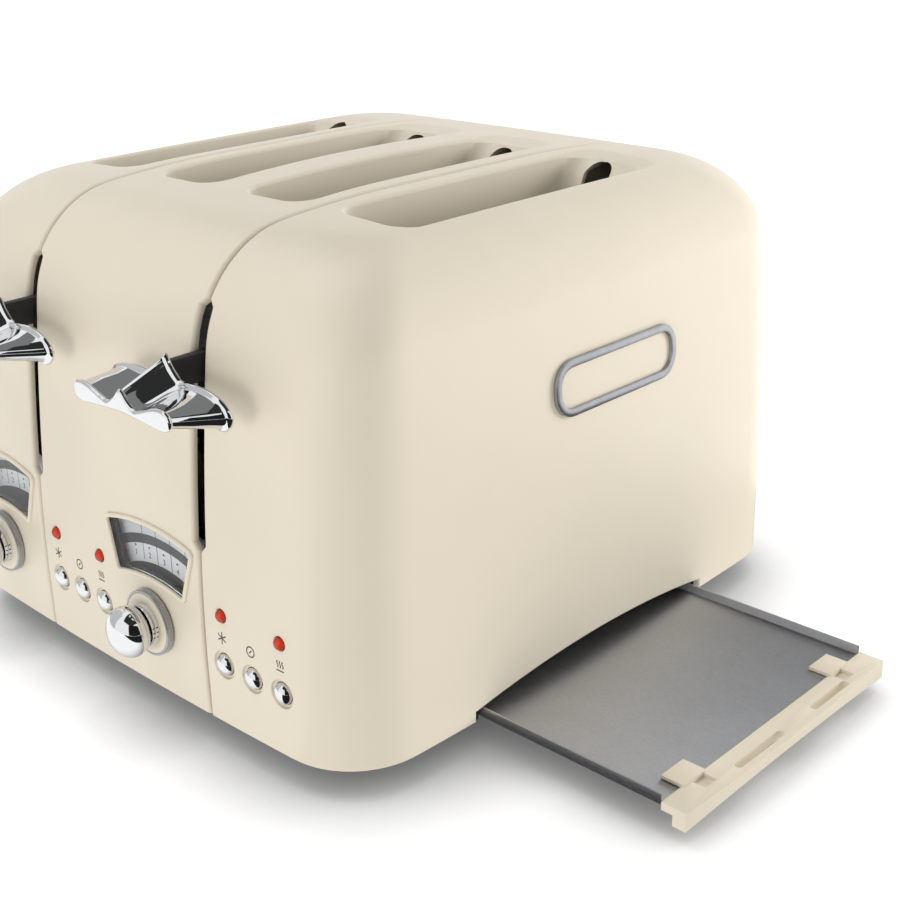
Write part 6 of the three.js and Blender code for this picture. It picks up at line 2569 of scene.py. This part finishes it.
@dataclass
class Studio:
    """Pale floor, soft light, cards for the plated parts to mirror, and the camera."""

    shop: Workshop
    lamps: Sequence[Lamp]
    cards: Sequence[Card]

    def build(self, camera: CameraSize) -> None:
        """Sets up floor, light, cards and camera.

        Args:
            camera: The photograph's camera.
        """
        self.world()
        self.floor()
        for lamp in self.lamps:
            self.lamp(lamp)
        for card in self.cards:
            self.card(card)
        self.camera(camera)
        bpy.context.scene.view_settings.view_transform = "Standard"

    def world(self) -> None:
        """White where it is seen, mirrored or seen through, and a softer fill elsewhere."""
        world = bpy.data.worlds.new("studio")
        bench = NodeBench.blank(world)
        path = bench.add("ShaderNodeLightPath")
        first = bench.calc(path.outputs["Is Camera Ray"], path.outputs["Is Glossy Ray"], "MAXIMUM")
        seen = bench.calc(first, path.outputs["Is Transmission Ray"], "MAXIMUM")
        strength = bench.add("ShaderNodeMapRange", {"Value": seen, "To Min": WORLD_FILL, "To Max": 1.0})
        light = bench.add("ShaderNodeBackground", {"Color": WHITE, "Strength": strength.outputs[0]})
        bench.add("ShaderNodeOutputWorld", {"Surface": light.outputs[0]})
        bpy.context.scene.world = world

    def floor(self) -> None:
        """Large pale floor as white as the background, its glow darkened by a painted contact shadow near the case.
        """
        ring = [(x * FLOOR_HALF, y * FLOOR_HALF, 0.0) for x, y in ((-1, -1), (1, -1), (1, 1), (-1, 1))]
        floor = self.shop.piece("floor", Skin(np.array(ring), [(0, 1, 2, 3)]), smooth=None)
        material = bpy.data.materials.new("floor")
        bench = NodeBench.blank(material)
        dull = bench.add("ShaderNodeBsdfDiffuse", {"Color": FLOOR_GREY})
        # painted contact shadow: the floor's glow follows ambient occlusion, also in what the plated parts mirror
        near = bench.add("ShaderNodeAmbientOcclusion", {"Distance": FLOOR_REACH * MM}, samples=FLOOR_SAMPLES)
        light = bench.ramp(near.outputs["AO"], FLOOR_SHADOW_TONES)
        glow = bench.add("ShaderNodeEmission", {"Color": light, "Strength": FLOOR_WHITE})
        both = bench.add("ShaderNodeMixShader", {0: FLOOR_GLOW, 1: dull.outputs[0], 2: glow.outputs[0]})
        bounce = bench.add("ShaderNodeEmission", {"Color": FLOOR_WARM, "Strength": FLOOR_BOUNCE})
        path = bench.add("ShaderNodeLightPath")
        both = bench.add("ShaderNodeMixShader", {0: path.outputs["Is Diffuse Ray"], 1: both.outputs[0],
                                                 2: bounce.outputs[0]})
        bench.add("ShaderNodeOutputMaterial", {"Surface": both.outputs[0]})
        floor.data.materials.append(material)

    def aimed(self, place: Sequence[float], target: Sequence[float]) -> Matrix:
        """World matrix of something that stands at a place and looks at a target."""
        start, end = self.shop.placement.spot(*place), self.shop.placement.spot(*target)
        turn = (end - start).to_track_quat("-Z", "Y").to_matrix().to_4x4()
        return Matrix.Translation(start) @ turn

    def lamp(self, lamp: Lamp) -> None:
        """Adds one rectangular lamp."""
        light = bpy.data.lights.new(lamp.name, "AREA")
        light.shape = "RECTANGLE"
        light.size, light.size_y = (side * MM for side in lamp.size)
        light.energy = lamp.power
        made = linked(lamp.name, light)
        made.matrix_world = self.aimed(lamp.place, lamp.target)
        made.visible_glossy = lamp.glossy
        made.visible_camera = False

    def card(self, card: Card) -> None:
        """Adds one card that only glossy rays see."""
        half = (card.size[0] / 2 * MM, card.size[1] / 2 * MM)
        mesh = bpy.data.meshes.new(card.name)
        corners = [(x * half[0], y * half[1], 0) for x, y in ((-1, -1), (1, -1), (1, 1), (-1, 1))]
        mesh.from_pydata(corners, [], [(0, 1, 2, 3)])
        mesh.transform(self.aimed(card.place, card.target))
        made = linked(card.name, mesh)
        material = bpy.data.materials.new(card.name)
        bench = NodeBench.blank(material)
        glow = bench.add("ShaderNodeEmission", {"Color": WHITE, "Strength": card.grey})
        bench.add("ShaderNodeOutputMaterial", {"Surface": glow.outputs[0]})
        mesh.materials.append(material)
        made.visible_camera = made.visible_diffuse = made.visible_shadow = made.visible_transmission = False

    def camera(self, size: CameraSize) -> None:
        """Adds the photograph's camera."""
        data = bpy.data.cameras.new("camera")
        data.sensor_width = size.sensor
        data.lens = size.focal_pixels / size.image_pixels * size.sensor
        data.clip_start, data.clip_end = size.clip
        made = linked("camera", data)
        turn, tilt, roll = (math.radians(a) for a in (size.azimuth, size.elevation, size.roll))
        right = Vector((math.cos(turn), math.sin(turn), 0))
        back = Vector((math.sin(turn) * math.cos(tilt), -math.cos(turn) * math.cos(tilt), math.sin(tilt)))
        up = back.cross(right)
        rolled_right = right * math.cos(roll) + up * math.sin(roll)
        rolled_up = up * math.cos(roll) - right * math.sin(roll)
        made.matrix_world = Matrix.Translation(self.shop.placement.spot(*size.eye)) @ Matrix((
            (rolled_right.x, rolled_up.x, back.x, 0), (rolled_right.y, rolled_up.y, back.y, 0),
            (rolled_right.z, rolled_up.z, back.z, 0), (0, 0, 0, 1)))
        bpy.context.scene.camera = made


LAMPS = (
    Lamp("key_front", (240.0, -1190.0, 200.0), (0.0, -137.0, 100.0), (500.0, 500.0), 3.6, False),
    Lamp("rear_right", (785.0, 1186.0, 340.0), (100.0, 0.0, 100.0), (600.0, 600.0), 16.0, False),
    Lamp("soft_top", (-300.0, -200.0, 1350.0), (0.0, 0.0, 180.0), (900.0, 900.0), 8.0, False),
)
CARDS = (
    Card("card_front", (1430.0, -899.0, 760.0), (24.0, -136.0, 760.0), (2280.0, 1500.0)),
    Card("card_top", (600.0, -400.0, 1500.0), (600.0, -400.0, 150.0), (1600.0, 2600.0), 0.03),
    Card("card_rear", (-500.0, 900.0, 1350.0), (-500.0, 900.0, 150.0), (2600.0, 1500.0), 0.22),
    Card("card_floor", (648.0, -475.0, 3.0), (648.03, -475.015, -20.0), (1100.0, 1400.0)),
    Card("card_left", (-1064.0, -643.0, 900.0), (24.0, -136.0, 900.0), (1300.0, 1780.0), 0.6),
)


# ---------------------------------------------------------------- assembly


def dress_nodes(frame: dict[str, object], finishes: MaterialShop) -> None:
    """Gives every CAD node the finish of its slot in the record.

    Args:
        finishes: Makes the materials.
    """
    slots = {row["node"]: row["material_slot"] for row in frame["record"]["subparts"]}
    for name, node in frame["nodes"].items():
        finishes.dress(node, SLOT_FINISHES[slots[name]])


def report(pieces: Sequence[Piece]) -> None:
    """Logs each piece with its number of faces."""
    for piece in pieces:
        LOG.info("%s: %d faces", piece.name, len(piece.data.polygons))


def main() -> None:
    """Builds the toaster and its studio in order."""
    logging.basicConfig(level=logging.INFO, format="%(name)s: %(message)s")
    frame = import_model()
    shop = Workshop(Placement.from_feet())
    finishes = MaterialShop()
    dress_nodes(frame, finishes)
    shape = CaseShape()
    probe = SurfaceProbe(shape)
    shell = CaseShell(shop, shape, probe, SlotSize(), SeamSize(), GaugeSize(), ControlSize(), ArchSize())
    sections = shell.build()
    for section in sections:
        finishes.dress(section, CASE_PAINT)
    report(sections)
    handle = LeverHandle(shop, HandleSize(), probe)
    store = GeometryStore(shop)
    knob = BrowningKnob(shop, KnobSize(), store)
    gauge = Gauge(shop, probe, GaugeSize())
    row = ButtonRow(shop, probe, ControlSize(), ButtonShape())
    for side in Side:
        lever = handle.build(side)
        finishes.dress(lever, CHROME)
        report([lever, *knob.build(side, finishes), *gauge.build(side, finishes), *row.build(side, finishes)])
    report([*SidePlate(shop, probe, BadgeSize()).build(finishes), *CrumbTray(shop).build(finishes),
            *BreadGuards(store).build(finishes), *HeaterCards(shop, store).build(finishes),
            *Mechanism(shop).build(finishes)])
    Studio(shop, LAMPS, CARDS).build(CameraSize())


if __name__ == "__main__":
    main()
